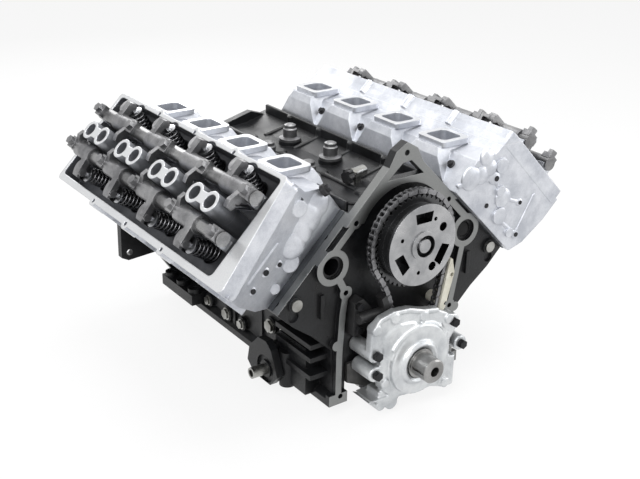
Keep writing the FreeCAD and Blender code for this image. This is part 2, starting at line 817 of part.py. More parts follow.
def connecting_rod():
    """Forged rod: big end at the origin, small end up +y, thickness along z."""
    big = size("pin_radius") + size("oil_clearance")
    length = size("rod_length")
    outline = [
        (-40, -22),
        (-27, -37),
        (27, -37),
        (40, -22),
        (40, 12),
        (14, 46),
        (10, length - 12),
        (-10, length - 12),
        (-14, 46),
        (-40, 12),
    ]
    body = padded("rod_blank", outline, "Sizes.rod_width")
    width = size("rod_width")
    blank = body.Shape
    blank = blank.fuse(Part.makeCylinder(18, width, V(0, length, 0), Z_AXIS))
    blank = blank.cut(Part.makeCylinder(big, width * 2, V(0, 0, -width / 2), Z_AXIS))
    blank = blank.cut(Part.makeCylinder(size("wrist_pin_radius") + 0.02, width * 2,
                                        V(0, length, -width / 2), Z_AXIS))
    channel = [V(-8, 50, 0), V(8, 50, 0), V(5.5, length - 24, 0), V(-5.5, length - 24, 0)]
    slot = Part.Face(Part.makePolygon(channel + channel[:1])).extrude(V(0, 0, width / 3))
    for start in (0, width - width / 3):
        cutter = slot.copy()
        cutter.translate(V(0, 0, start))
        blank = blank.cut(cutter)
    return blank.removeSplitter()


def crank_train():
    """Pistons with their pins, and rods, each at its own place for the crank's rest angle."""
    pistons = []
    rods = []
    crown = piston()
    blank = connecting_rod()
    throw = size("crank_throw")
    for side, cylinders in SIDES.items():
        lean = size("bank_angle") if side == "left" else -size("bank_angle")
        for index, y in enumerate(cylinders):
            angle = PIN_ANGLES[index] - lean
            across, along = (throw * part for part in unit(angle))
            reach = along + math.sqrt(size("rod_length") ** 2 - across ** 2)
            swing = -math.degrees(math.asin(across / size("rod_length")))
            upright = FreeCAD.Rotation(X_AXIS, 90)
            bank = FreeCAD.Rotation(Y_AXIS, lean)
            axis = bank.multVec(Z_AXIS)
            pistons.append(placed(crown, V(0, y, 0) + axis * reach, bank.multiply(upright)))
            pin = Part.makeCylinder(size("wrist_pin_radius"), 62,
                                    V(0, y - 31, 0) + axis * reach, Y_AXIS)
            pistons.append(pin)
            centre = V(throw * unit(PIN_ANGLES[index])[0], y + size("rod_width") / 2,
                       throw * unit(PIN_ANGLES[index])[1])
            tilt = FreeCAD.Rotation(Y_AXIS, lean + swing)
            rods.append(placed(blank, centre, tilt.multiply(upright)))
    return pistons, rods


group("main_bearing_caps", main_bearing_caps())
group("main_cap_bolts", main_cap_bolts())
group("main_bearings", main_bearings())
keep("crankshaft", crankshaft())
keep("crank_sprocket", crank_sprocket())
PISTONS, RODS = crank_train()
group("pistons", PISTONS)
group("connecting_rods", RODS)


# ---------------------------------------------------------------- cam, lifters, pushrods

FIRING = {"left": [0, 3, 5, 6], "right": [7, 2, 4, 1]}


def camshaft():
    """Five journals, sixteen lobes and a nose for the phaser."""
    z = size("cam_height")
    base = size("cam_base_radius")
    nose = base / 2
    reach = base + size("cam_lift") - nose
    parts = [along_y(0, z, FRONT - 8, REAR - 12, base - 3)]
    for y in MAINS:
        parts.append(along_y(0, z, y - 6.9, y + 6.9, size("cam_journal_radius")))
    for side, cylinders in SIDES.items():
        for index, y in enumerate(cylinders):
            for kind, phase in (("intake", 0), ("exhaust", -111)):
                lobe_y = lifter_y(kind, y)
                angle = FIRING[side][index] * 45 + phase
                direction = unit(angle)
                tip = (reach * direction[0], z + reach * direction[1])
                tangent = math.degrees(math.acos((base - nose) / reach))
                outline = []
                for turn in (tangent, -tangent):
                    edge = unit(angle + turn)
                    pair = [(base * edge[0], z + base * edge[1]),
                            (tip[0] + nose * edge[0], tip[1] + nose * edge[1])]
                    outline += pair if turn > 0 else pair[::-1]
                half = size("lobe_width") / 2
                parts.append(along_y(0, z, lobe_y - half, lobe_y + half, base))
                parts.append(along_y(tip[0], tip[1], lobe_y - half, lobe_y + half, nose))
                parts.append(prism(outline, lobe_y - half, lobe_y + half))
    return joined(parts)


def valve_lifters():
    """Roller lifters in their bores, each just clear of its lobe's highest point."""
    start = size("cam_base_radius") + size("cam_lift") + size("moving_gap") + 0.2
    lifters = []
    for side, cylinders in SIDES.items():
        sign = 1 if side == "left" else -1
        for y in cylinders:
            for kind in ("intake", "exhaust"):
                low = lifter_point(start)
                high = lifter_point(size("lifter_seat") - 0.3)
                row_y = lifter_y(kind, y)
                lifters.append(rod(V(sign * low[0], row_y, low[1]),
                                   V(sign * high[0], row_y, high[1]), size("lifter_radius")))
    return lifters


def pushrods():
    """Slim rods from the lifters up to the rocker cups."""
    rods = []
    for side, cylinders in SIDES.items():
        for y in cylinders:
            for kind in ("intake", "exhaust"):
                low, high = pushrod_ends(kind, y)
                direction = (high - low).normalize()
                low = low + direction * 2
                rods.append(in_bank(side, rod(low, high, size("pushrod_radius"))))
    return rods


keep("camshaft", camshaft())
group("valve_lifters", valve_lifters())
group("pushrods", pushrods())


# ---------------------------------------------------------------- cylinder heads

def head_section():
    """Outline of a head across the bank, in (u, w)."""
    top = size("rail_height") - 14
    return [
        (-size("deck_inner"), DECK_TOP),
        (size("deck_outer"), DECK_TOP),
        (size("deck_outer") + 14, DECK_TOP + 26),
        (size("deck_outer") + 23, DECK_TOP + 78),
        (size("rail_outer") - 6, top),
        (-size("rail_inner"), top),
        (-size("rail_inner") - 2, size("pocket_floor") - 10),
        (-size("deck_inner") - 4, DECK_TOP + 58),
    ]


def intake_runner(y):
    """One cylinder's intake port: a thin level flange on a fan that widens towards the deck."""
    half = size("port_long") / 2 + size("port_flange")
    wide = size("port_wide") / 2 + size("port_flange")
    face_z = size("port_face_height")
    inner = row_to_bank(size("port_face_x") - wide, face_z)
    outer = row_to_bank(size("port_face_x") + wide, face_z)
    outline = [
        inner,
        outer,
        (-size("rail_inner") + 2, size("pocket_floor") - 12),
        (-size("deck_inner") + 4, DECK_TOP + 10),
        (-size("deck_inner") - 2, DECK_TOP + 8),
        (inner[0] + 6, inner[1] - 22),
    ]
    foot = size("runner_foot")
    fan = prism(outline, y - foot, y + foot)
    corners = [(y - half + 5, face_z - 8), (y + half - 5, face_z - 8), (y + foot, face_z - 54),
               (y + foot, face_z - 90), (y - foot, face_z - 90), (y - foot, face_z - 54)]
    spread = Part.Face(Part.makePolygon([V(40, *corner) for corner in corners + corners[:1]]))
    spread = spread.extrude(V(260, 0, 0))
    flange = box((size("port_face_x") - wide, y - half, face_z - 9),
                 (size("port_face_x") + wide, y + half, face_z))
    upright = [edge for edge in flange.Edges
               if abs(edge.Vertexes[0].Point.z - edge.Vertexes[1].Point.z) > 1]
    flange = flange.makeFillet(9, upright)
    for shape in (spread, flange):
        shape.rotate(V(0, 0, 0), Y_AXIS, -size("bank_angle"))
    return [fan.common(spread), flange]


def port_passages(y):
    """Cutters of one cylinder: chamber, ports, valve guides, plug wells and pushrod tunnels."""
    tools = []
    centre = DECK_TOP + size("chamber_depth") - size("chamber_radius")
    ball = Part.makeSphere(size("chamber_radius"), V(0, y, centre), Z_AXIS, 40, 90, 360)
    tools.append(ball)
    deep = row_to_bank(size("port_face_x"), size("port_face_height") - 32)
    port_y = y + size("port_shift")
    for kind in ("intake", "exhaust"):
        axis = valve_axis(kind)
        tip = valve_tip(kind) + V(0, y, 0)
        seat = tip - axis * size("valve_length")
        radius = size(kind + "_valve_radius")
        throat = seat + axis * 26
        tools.append(rod(seat - axis * (size("valve_lift") + 2), seat + axis * 4.5, radius + 0.6))
        tools.append(rod(seat, throat, radius - 3))
        tools.append(rod(throat, tip, size("stem_radius") + size("moving_gap")))
        spring_seat = tip - axis * (size("spring_length") + size("tip_height")
                                    + size("retainer_height"))
        tools.append(rod(spring_seat, tip, size("spring_seat_radius") + 1.5))
        if kind == "intake":
            runner_end = V(deep[0], port_y, deep[1])
            tools.append(rod(throat - axis * 6, runner_end, size("port_runner_radius")))
        else:
            exit_point = V(size("rail_outer") + 12, y, DECK_TOP + 44)
            tools.append(rod(throat - axis * 6, exit_point, size("exhaust_runner_radius")))
        low, high = pushrod_ends(kind, y)
        tools.append(rod(low, high, size("pushrod_radius") + 2))
    half_wide = size("port_wide") / 2
    half_long = size("port_long") / 2
    well = box((size("port_face_x") - half_wide, port_y - half_long, size("port_face_height") - 34),
               (size("port_face_x") + half_wide, port_y + half_long, size("port_face_height") + 5))
    upright = [edge for edge in well.Edges
               if abs(edge.Vertexes[0].Point.z - edge.Vertexes[1].Point.z) > 1]
    well = well.makeFillet(9, upright)
    well.rotate(V(0, 0, 0), Y_AXIS, -size("bank_angle"))
    tools.append(well)
    return tools


def plug_towers(y):
    """The figure-eight spark plug tower pair of one cylinder, without its holes."""
    u = size("tower_u")
    floor = size("pocket_floor") - 1
    height = size("tower_height") - floor
    tower = Part.makeCylinder(size("tower_radius"), height, V(u, y - size("plug_spacing"), floor))
    twin = Part.makeCylinder(size("tower_radius"), height, V(u, y + size("plug_spacing"), floor))
    waist = box((u - 9, y - size("plug_spacing"), floor),
                (u + 9, y + size("plug_spacing"), floor + height))
    return [tower, twin, waist]


def flat_outline(points, low, high):
    """An outline of (u, y) points carried from w = low to w = high."""
    corners = [V(u, y, low) for u, y in points]
    return Part.Face(Part.makePolygon(corners + corners[:1])).extrude(V(0, 0, high - low))


def head_shell(side):
    """The head's body: its cross-section, with end walls that lean from the rail to the deck."""
    wide = 140
    slant = size("rail_slant") if side == "right" else 0
    slope = slant / (size("rail_inner") + size("rail_outer") - 5)
    rail_front, rail_rear = RAIL_FRONTS[side], RAIL_REARS[side]
    deck_front = SIDES[side][0] - size(side + "_deck_lead")
    deck_rear = HEAD_SPANS[side][1]
    at_rail = [(-wide, rail_front + slope * (wide - size("rail_inner"))),
               (wide, rail_front - slope * (wide + size("rail_inner"))),
               (wide, rail_rear), (-wide, rail_rear)]
    at_deck = [(-wide, deck_front), (wide, deck_front), (wide, deck_rear), (-wide, deck_rear)]
    wires = []
    for corners, w in ((at_deck, DECK_TOP), (at_rail, size("rail_height") - 14)):
        points = [V(u, y, w) for u, y in corners]
        wires.append(Part.makePolygon(points + points[:1]))
    leaning = Part.makeLoft(wires, True, True)
    return prism(head_section(), rail_front - 60, rail_rear + 20).common(leaning)


def rail_frame(side):
    """The raised rail that the rocker cover seals on, wider at its front lower corner."""
    rail_front, rail_rear = RAIL_FRONTS[side], RAIL_REARS[side]
    slant = size("rail_slant") if side == "right" else 0
    top = size("rail_height")
    outer = size("rail_outer") - 5
    frame = flat_outline([(-size("rail_inner"), rail_front), (outer, rail_front - slant),
                          (outer, rail_rear), (-size("rail_inner"), rail_rear)], top - 26, top)
    corners = [edge for edge in frame.Edges
               if abs(edge.Vertexes[0].Point.z - edge.Vertexes[1].Point.z) > 1]
    return frame.makeFillet(9, corners)


def cylinder_head(side):
    """One cast head: level intake ports, rocker pocket, plug towers and shaft pedestals."""
    cylinders = SIDES[side]
    top = size("rail_height")
    floor = size("pocket_floor")
    wall = size("rail_wall")
    rail_front, rail_rear = RAIL_FRONTS[side], RAIL_REARS[side]
    body_front, body_rear = HEAD_SPANS[side]
    casting = [head_shell(side), rail_frame(side)]
    for y in head_bolt_rows(cylinders)[1:-1]:
        for u in (-size("rail_inner") + 4, size("rail_outer") - 8):
            casting.append(Part.makeCylinder(9, 26, V(u, y, top - 26), Z_AXIS))
    for y in cylinders:
        casting += intake_runner(y + size("port_shift"))
        out = V(size("deck_outer") + 10, y, DECK_TOP + 43)
        flange = box((out.x - 20, y - 33, out.z - 27), (size("rail_outer"), y + 33, out.z + 27))
        casting.append(flange)
    # bosses and a stiffening rib on the front end wall
    front = SIDES[side][0] - size(side + "_deck_lead")
    for u, w, radius in ((-62, 318, 12), (-30, 290, 9), (2, 262, 14), (44, 256, 8)):
        lean = (w - DECK_TOP) / (top - 14 - DECK_TOP)
        wall_y = front + (rail_front - front) * lean
        if side == "right":
            wall_y -= size("rail_slant") * lean * (u + size("rail_inner")) / 179
        casting.append(along_y(u, w, wall_y - 4, front + 40, radius))
    head = joined(casting)

    pocket = box((-size("rail_inner") + wall, rail_front + wall, floor),
                 (size("rail_outer") - 5 - 1.6 * wall, rail_rear - wall, top + 1))
    corners = [edge for edge in pocket.Edges
               if abs(edge.Vertexes[0].Point.z - edge.Vertexes[1].Point.z) > 1]
    head = head.cut(pocket.makeFillet(8, corners))

    inside = []
    for y in cylinders:
        inside += plug_towers(y)
    for kind in ("intake", "exhaust"):
        u = size(kind + "_shaft_u")
        for row in head_bolt_rows(cylinders):
            inside.append(box((u - 11, row - 7.5, floor - 14),
                              (u + 11, row + 7.5, size(kind + "_shaft_w") - 4)))
    head = head.multiFuse(inside)

    tools = []
    for y in cylinders:
        tools += port_passages(y)
        for sign in (-1, 1):
            row = y + sign * size("plug_spacing")
            tools.append(rod(V(size("tower_u"), row, DECK_TOP + 34),
                             V(size("tower_u"), row, size("tower_height") + 1),
                             size("tower_hole_radius")))
            tools.append(rod(V(size("tower_u"), row, DECK_TOP - 1),
                             V(size("tower_u"), row, DECK_TOP + 35), 6))
    for kind in ("intake", "exhaust"):
        u = size(kind + "_shaft_u")
        w = size(kind + "_shaft_w")
        tools.append(along_y(u, w, rail_front - 5, rail_rear + 5,
                             size("rocker_shaft_radius") + size("oil_clearance")))
        for row in head_bolt_rows(cylinders):
            tools.append(rod(V(u, row, floor - 18), V(u, row, w), 4.3))
    for y in head_bolt_rows(cylinders)[1:-1]:
        tools.append(rod(V(-size("rail_inner") + 4, y, top - 14),
                         V(-size("rail_inner") + 4, y, top + 1), 3.3))
        tools.append(rod(V(size("rail_outer") - 8, y, top - 14),
                         V(size("rail_outer") - 8, y, top + 1), 3.3))
    for y in head_bolt_rows(cylinders):
        if body_front + 8 < y < body_rear - 8:
            for u in (-size("head_bolt_u"), size("head_bolt_u")):
                tools.append(rod(V(u, y, DECK_TOP - 1), V(u, y, floor + 1),
                                 size("head_bolt_radius") + 0.2))
                tools.append(rod(V(u, y, floor - 1), V(u, y, floor + 15), 11))
    head = head.cut(Part.makeCompound(tools)).removeSplitter()
    return in_bank(side, head)


def head_gaskets():
    """Thin multi-layer gaskets between the decks and the heads."""
    gaskets = []
    thickness = size("gasket_thickness")
    for side, cylinders in SIDES.items():
        start, end = HEAD_SPANS[side]
        inset = 1
        outline = [
            (-size("deck_inner") + inset, start + inset),
            (size("deck_outer") - inset, start + inset),
            (size("deck_outer") - inset, end - inset),
            (-size("deck_inner") + inset, end - inset),
        ]
        holes = [(0, y, size("bore_radius") + 0.6) for y in cylinders]
        for y in head_bolt_rows(cylinders):
            if start + 8 < y < end - 8:
                holes += [(sign * size("head_bolt_u"), y, size("head_bolt_radius") + 0.4)
                          for sign in (-1, 1)]
        for y in cylinders:
            for kind in ("intake", "exhaust"):
                low, high = pushrod_ends(kind, y)
                at = low + (high - low) * ((DECK_TOP - low.z) / (high.z - low.z))
                holes.append((at.x, at.y, 7.5))
        sheet_metal = padded(side + "_gasket_blank", outline, "Sizes.gasket_thickness", holes)
        raised = sheet_metal.Shape.copy()
        raised.translate(V(0, 0, DECK_TOP - thickness))
        gaskets.append(in_bank(side, raised))
    return gaskets


def head_bolts():
    """Long bolts from the rocker pocket down into the block, with their washers."""
    bolts = []
    floor = size("pocket_floor")
    reach = floor - size("deck_height") + 36
    for side, cylinders in SIDES.items():
        start, end = HEAD_SPANS[side]
        for y in head_bolt_rows(cylinders):
            if start + 8 < y < end - 8:
                for u in (-size("head_bolt_u"), size("head_bolt_u")):
                    bolts.append(in_bank(side, bolt((u, y, floor - 1), Z_AXIS * -1,
                                                    size("head_bolt_radius") - 0.1, reach, 17, 11)))
    return bolts


keep("left_cylinder_head", cylinder_head("left"))
keep("right_cylinder_head", cylinder_head("right"))
group("head_gaskets", head_gaskets())
group("head_bolts", head_bolts())


# ---------------------------------------------------------------- rocker gear and valves

def rocker_shafts():
    """Two hollow shafts on each head, drilled across for their hold-down bolts."""
    shafts = []
    for side, cylinders in SIDES.items():
        for kind in ("intake", "exhaust"):
            u = size(kind + "_shaft_u")
            w = size(kind + "_shaft_w")
            rows = head_bolt_rows(cylinders)
            bar = along_y(u, w, rows[0] - 10, rows[-1] + 10, size("rocker_shaft_radius"))
            holes = [rod(V(u, row, w - 15), V(u, row, w + 15), 4.3) for row in rows]
            shafts.append(in_bank(side, bar.cut(Part.makeCompound(holes))))
    return shafts


def rocker_shaft_bolts():
    """Bolts with saddle retainers that clamp the shafts onto their pedestals."""
    pieces = []
    radius = size("rocker_shaft_radius")
    for side, cylinders in SIDES.items():
        for kind in ("intake", "exhaust"):
            u = size(kind + "_shaft_u")
            w = size(kind + "_shaft_w")
            for row in head_bolt_rows(cylinders):
                saddle = box((u - 10, row - 8, w + 4), (u + 10, row + 8, w + radius + 4))
                saddle = saddle.cut(along_y(u, w, row - 9, row + 9, radius + 0.02))
                screw = bolt((u, row, w + radius + 3.5), Z_AXIS * -1, 4, 50, 13, 8.5)
                pieces.append(in_bank(side, saddle.fuse(screw).removeSplitter()))
    return pieces


def tip_scoop(kind, tip):
    """The wall at a rocker's valve end that curls round the back of the spring retainer."""
    axis = valve_axis(kind)
    outer = size("scoop_radius")
    inner = outer - size("scoop_wall")
    bell = rod(tip - axis * 10, tip + axis * 10, outer)
    bell = bell.cut(rod(tip - axis * 11, tip + axis * 4.5, inner))
    low_u, high_u = sorted([size(kind + "_shaft_u"), tip.x + (-9 if tip.x < 0 else 12)])
    keep_in = box((low_u, tip.y + 1, tip.z - 30), (high_u, tip.y + 40, tip.z + 30))
    scoop = bell.common(keep_in)
    return [scoop] if scoop.Volume > 1 else []


def rocker_arm(side, kind, cylinder):
    """A forged rocker: barrel on its shaft, one arm to the valve and one to the pushrod cup."""
    u = size(kind + "_shaft_u")
    w = size(kind + "_shaft_w")
    outer = size("rocker_barrel_radius")
    gap = size("moving_gap")
    low, high = pushrod_ends(kind, cylinder)
    tip = valve_tip(kind) + V(0, cylinder, 0)
    side_of = 1 if high.y > tip.y else -1
    ends = sorted([tip.y - side_of * 8, high.y + side_of * 3.4])
    barrel = along_y(u, w, ends[0], ends[1], outer)

    nose = 6
    contact = tip + valve_axis(kind) * (nose + gap)
    nose_bar = along_y(contact.x, contact.z, tip.y - 7, tip.y + 7, nose)
    beyond = 5 if contact.x > u else -5
    crown = w + outer - 2
    valve_arm = prism([(u, w + 2), (contact.x, contact.z - 1), (contact.x + beyond, contact.z - 1),
                       (contact.x + beyond * 0.6, contact.z + nose + 2), (u, crown)],
                      tip.y - 6.8, tip.y + 6.8)
    reach = 7 if high.x > u else -7
    cup_ends = sorted([high.y - side_of * 6, high.y + side_of * 3.2])
    push_arm = prism([(u, w - 3), (high.x + reach, high.z + 1), (high.x + reach, high.z + 10),
                      (high.x - reach * 0.5, high.z + 13), (u, crown)], *cup_ends)
    shape = joined([barrel, nose_bar, valve_arm, push_arm] + tip_scoop(kind, tip))
    past = size("scoop_radius")
    shape = shape.cut(along_y(u, w, ends[0] - past, ends[1] + past,
                              size("rocker_shaft_radius") + size("oil_clearance")))
    direction = (high - low).normalize()
    shape = shape.cut(rod(high - direction * 14, high + direction * gap,
                          size("pushrod_radius") + 1.2))
    return in_bank(side, shape)


def valve_blank(kind):
    """A poppet valve with its retainer, made about y with the tip at zero and the head below."""
    stem = size("stem_radius")
    radius = size(kind + "_valve_radius")
    length = size("valve_length")
    top = -size("tip_height")
    low = top - size("retainer_height")
    profile = [
        (0, 0),
        (stem, 0),
        (stem, top),
        (size("retainer_radius"), top - 1),
        (size("retainer_radius"), top - 4),
        (9, low),
        (stem, low),
        (stem, -length + 22),
        (stem + 4, -length + 9),
        (radius, -length + 2),
        (radius, -length),
        (0, -length),
    ]
    return revolved(kind + "_valve_blank", profile).Shape


def valve_place(kind, cylinder):
    """Base and rotation of a closed valve in (u, y, w)."""
    tip = valve_tip(kind) + V(0, cylinder, 0)
    return tip, FreeCAD.Rotation(Y_AXIS, valve_axis(kind))


def spring_blank():
    """The envelope of one coil spring, as a sleeve about y with its top at zero."""
    top = size("spring_top_radius")
    seat = size("spring_seat_radius")
    wire = size("spring_wire")
    profile = [
        (top - wire, -0.3),
        (top, -0.3),
        (seat, -size("spring_length") * 0.6),
        (seat, -size("spring_length") + 0.1),
        (seat - wire, -size("spring_length") + 0.1),
        (seat - wire, -size("spring_length") * 0.6),
    ]
    return revolved("spring_sleeve", profile).Shape


BLANKS = {kind: valve_blank(kind) for kind in ("intake", "exhaust")}
SPRING = spring_blank()
SPRINGS = []
for bank, bank_cylinders in SIDES.items():
    for number, cylinder in enumerate(bank_cylinders, start=1):
        for kind in ("intake", "exhaust"):
            base, turn = valve_place(kind, cylinder)
            keep(f"{bank}_{kind}_rocker_{number}", rocker_arm(bank, kind, cylinder))
            keep(f"{bank}_{kind}_valve_{number}", in_bank(bank, placed(BLANKS[kind], base, turn)))
            seat = base - valve_axis(kind) * (size("tip_height") + size("retainer_height"))
            SPRINGS.append(in_bank(bank, placed(SPRING, seat, turn)))
group("rocker_shafts", rocker_shafts())
group("rocker_shaft_bolts", rocker_shaft_bolts())
group("valve_springs", SPRINGS)


# ---------------------------------------------------------------- timing drive

def chain_path():
    """Pitch line of the chain: both wheels, the straight tight run and the bowed slack run."""
    cam = V(0, 0, size("cam_height"))
    big = size("cam_sprocket_pitch")
    small = size("crank_sprocket_pitch")
    bow = V(size("slack_bow_x"), 0, size("slack_bow_z"))
    lean = math.asin((big - small) / cam.z)
    tight = V(math.cos(lean), 0, -math.sin(lean))
    cam_tight = cam + tight * big
    crank_tight = tight * small
    to_bow = (bow - cam).normalize()
    cam_slack = cam + to_bow * big
    crank_slack = V(bow).normalize() * small
    bow_radius = (bow - cam).Length - big
    bow_middle = (cam_slack + crank_slack) * 0.5 - bow
    bow_crest = bow + bow_middle.normalize() * bow_radius
    over_top = cam + (Z_AXIS * 1).normalize() * big
    under = V(0, 0, -small)
    return [
        Part.Arc(cam_slack, over_top, cam_tight).toShape(),
        Part.LineSegment(cam_tight, crank_tight).toShape(),
        Part.Arc(crank_tight, under, crank_slack).toShape(),
        Part.Arc(crank_slack, bow_crest, cam_slack).toShape(),
    ]


def timing_chain():
    """The chain's endless band round the cam and crank wheels."""
    wire = Part.Wire(Part.__sortEdges__(chain_path()))
    half = size("chain_thickness") / 2
    outer = Part.Face(wire.makeOffset2D(half))
    inner = Part.Face(wire.makeOffset2D(-half))
    band = outer.cut(inner)
    band.translate(V(0, FRONT - size("chain_plane") - size("chain_width") / 2, 0))
    return band.extrude(V(0, size("chain_width"), 0))


def slack_shoe():
    """Curved tensioner shoe that presses the slack run inward."""
    bow = V(size("slack_bow_x"), 0, size("slack_bow_z"))
    inner_run = size("slack_bow_radius") - size("chain_thickness") / 2 - size("moving_gap")
    start, end = math.radians(66), math.radians(97)
    points = []
    for radius, sweep in ((inner_run, 1), (inner_run - 10, -1)):
        for step in range(9):
            share = step / 8 if sweep > 0 else 1 - step / 8
            angle = start + (end - start) * share
            points.append((bow.x + radius * math.sin(angle), bow.z + radius * math.cos(angle)))
    plane = FRONT - size("chain_plane")
    half = size("chain_width") / 2 + 2
    return prism(points, plane - half, plane + half)


def chain_tensioner():
    """Spring-loaded tensioner: its plate on the block face and the shoe against the chain."""
    shoe = slack_shoe()
    plate = prism([(-96, 108), (-80, 112), (-64, 94), (-64, 74), (-78, 54), (-96, 54)],
                  FRONT - 12, CASTING_FRONT - SEATED)
    barrel = rod(V(-92, FRONT - 17, 84), V(-50, FRONT - 17, 84), 8)
    body = joined([plate, barrel])
    holes = [along_y(x, z, FRONT - 30, CASTING_FRONT, 3.3) for x, z in TENSIONER_BOLTS]
    return [shoe, body.cut(Part.makeCompound(holes)).cut(shoe)]


def chain_guide():
    """Tapered plastic guide along the tight run, bolted to the block face."""
    lean = math.asin((size("cam_sprocket_pitch") - size("crank_sprocket_pitch"))
                     / size("cam_height"))
    out = V(math.cos(lean), 0, -math.sin(lean))
    along = V(math.sin(lean), 0, math.cos(lean))
    foot = out * (size("crank_sprocket_pitch") + size("chain_thickness") / 2
                  + size("moving_gap")) + along * 64
    run = 92
    corners = [
        foot,
        foot + along * run,
        foot + along * run + out * 5,
        foot + along * (run - 22) + out * 15,
        foot + along * 12 + out * 12,
        foot + out * 5,
    ]
    plane = FRONT - size("chain_plane")
    half = size("chain_width") / 2 + 3
    guide = prism([(p.x, p.z) for p in corners], plane - half, plane + half)
    feet = []
    holes = []
    for share in (0.2, 0.72):
        at = foot + along * (run * share) + out * 11
        feet.append(along_y(at.x, at.z, plane + half - 8, CASTING_FRONT - SEATED, 9))
        holes.append(along_y(at.x, at.z, plane - half - 5, CASTING_FRONT, 3.3))
    return joined([guide] + feet).cut(Part.makeCompound(holes))


def cam_phaser():
    """Cam phaser: toothed rim, darker housing, and a front disc with three windows."""
    z = size("cam_height")
    face = FRONT - size("phaser_face")
    plane = FRONT - size("chain_plane")
    half = size("chain_width") / 2
    rim = size("cam_sprocket_pitch") - size("chain_thickness") / 2 - size("moving_gap")
    teeth = 44
    points = []
    for tooth in range(teeth):
        for part, radius in ((0, rim - 5), (0.28, rim), (0.62, rim)):
            angle = 360 / teeth * (tooth + part)
            points.append((radius * unit(angle)[0], radius * unit(angle)[1]))
    wheel = padded("phaser_wheel", points, "Sizes.chain_width")
    wheel = placed(wheel.Shape, V(0, plane + half, z), FACING_FRONT)
    housing = along_y(0, z, face + 5, plane - half + 1, size("phaser_housing_radius"))
    disc = padded("phaser_disc", [], "5", [(0, 0, "phaser_disc_radius")])
    middle = size("phaser_disc_radius") * 0.68
    window = [(-14, middle - 8), (14, middle - 8), (17, middle + 8), (-17, middle + 8)]
    body = disc
    planes = {plane.Role: plane for plane in body.Origin.OriginFeatures}
    sketch = add_sketch(body, planes["XY_Plane"], "phaser_window", window)
    pocket = body.newObject("PartDesign::Pocket", "phaser_window_cut")
    pocket.Profile = sketch
    pocket.setExpression("Length", "5")
    pocket.Reversed = True
    doc.recompute()
    pattern = body.newObject("PartDesign::PolarPattern", "phaser_windows")
    pattern.Originals = [pocket]
    pattern.Axis = (planes["Z_Axis"], [""])
    pattern.Angle = 360
    pattern.Occurrences = 3
    body.Tip = pattern
    doc.recompute()
    disc_shape = placed(body.Shape, V(0, face + 5, z), FACING_FRONT)
    nose = along_y(0, z, plane, FRONT - 8.02, 22)
    parts = [wheel, housing, disc_shape, nose, along_y(0, z, face - 2, face + 6, 22)]
    phaser = joined(parts)
    # the oil valve's slot round the centre bolt
    phaser = phaser.cut(along_y(4, z - 2, face - 3, face + 12, 17))
    phaser = phaser.fuse(along_y(-1, z + 1, face - 6, face + 14, 10.5)).removeSplitter()
    holes = [along_y(middle * unit(a)[0], z + middle * unit(a)[1], face - 1, face + 14, 7)
             for a in (60, 152)]
    holes += [along_y(middle * unit(a)[0], z + middle * unit(a)[1], face - 1, face + 8, 3.2)
              for a in (292, 30, 188)]
    for a in (0, 120, 240):
        deep = prism(window, face + 4, face + 17)
        deep.rotate(V(0, 0, 0), Y_AXIS, a)
        deep.translate(V(0, 0, z))
        holes.append(deep)
    return phaser.cut(Part.makeCompound(holes))


keep("timing_chain", timing_chain())
keep("chain_guide", chain_guide())
group("chain_tensioner", chain_tensioner())
keep("cam_phaser", cam_phaser())


# ---------------------------------------------------------------- oil pump

ROTOR_LOBES = 8
ROTOR_MIDDLE = V(size("rotor_offset"), 0, 0)


def rotor_outline():
    """Inner gear of the pump: the ring's teeth rolled round it, drawn inside by a clearance."""
    lobes = ROTOR_LOBES
    circle = size("rotor_tooth_circle")
    offset = size("rotor_offset")
    shrink = size("rotor_tooth_radius") + size("rotor_clearance")
    points = []
    per_lobe = 12
    for step in range(lobes * per_lobe):
        even = 2 * math.pi * step / (lobes * per_lobe)
        turn = even + 0.085 * math.sin(lobes * even)
        fast = (lobes + 1) * turn
        x = circle * math.cos(turn) + offset * math.cos(fast)
        z = circle * math.sin(turn) + offset * math.sin(fast)
        slope_x = -circle * math.sin(turn) - offset * (lobes + 1) * math.sin(fast)
        slope_z = circle * math.cos(turn) + offset * (lobes + 1) * math.cos(fast)
        length = math.hypot(slope_x, slope_z)
        points.append((x - shrink * slope_z / length, z + shrink * slope_x / length))
    return points


def rotor_span():
    """Rear and front y of the pump's rotors."""
    middle = FRONT - (size("pump_back") + size("pump_front")) / 2 - 1
    return middle - size("rotor_depth") / 2, middle + size("rotor_depth") / 2


def pump_inner_rotor():
    """Lobed inner rotor carried on the crank hub."""
    start, end = rotor_span()
    rotor = prism(rotor_outline(), start, end)
    return rotor.cut(along_y(0, 0, start - 1, end + 1, size("hub_radius")))


def pump_outer_rotor():
    """Ring with one tooth more than the inner rotor, turning about an offset centre."""
    start, end = rotor_span()
    x = ROTOR_MIDDLE.x
    ring = along_y(x, 0, start, end, size("rotor_ring_radius"))
    hollow = size("rotor_tooth_circle") + size("moving_gap")
    ring = ring.cut(along_y(x, 0, start - 1, end + 1, hollow))
    teeth = []
    for tooth in range(ROTOR_LOBES + 1):
        angle = math.radians(360 / (ROTOR_LOBES + 1) * tooth)
        teeth.append(along_y(x + size("rotor_tooth_circle") * math.cos(angle),
                             size("rotor_tooth_circle") * math.sin(angle),
                             start, end, size("rotor_tooth_radius")))
    return joined([ring] + teeth)




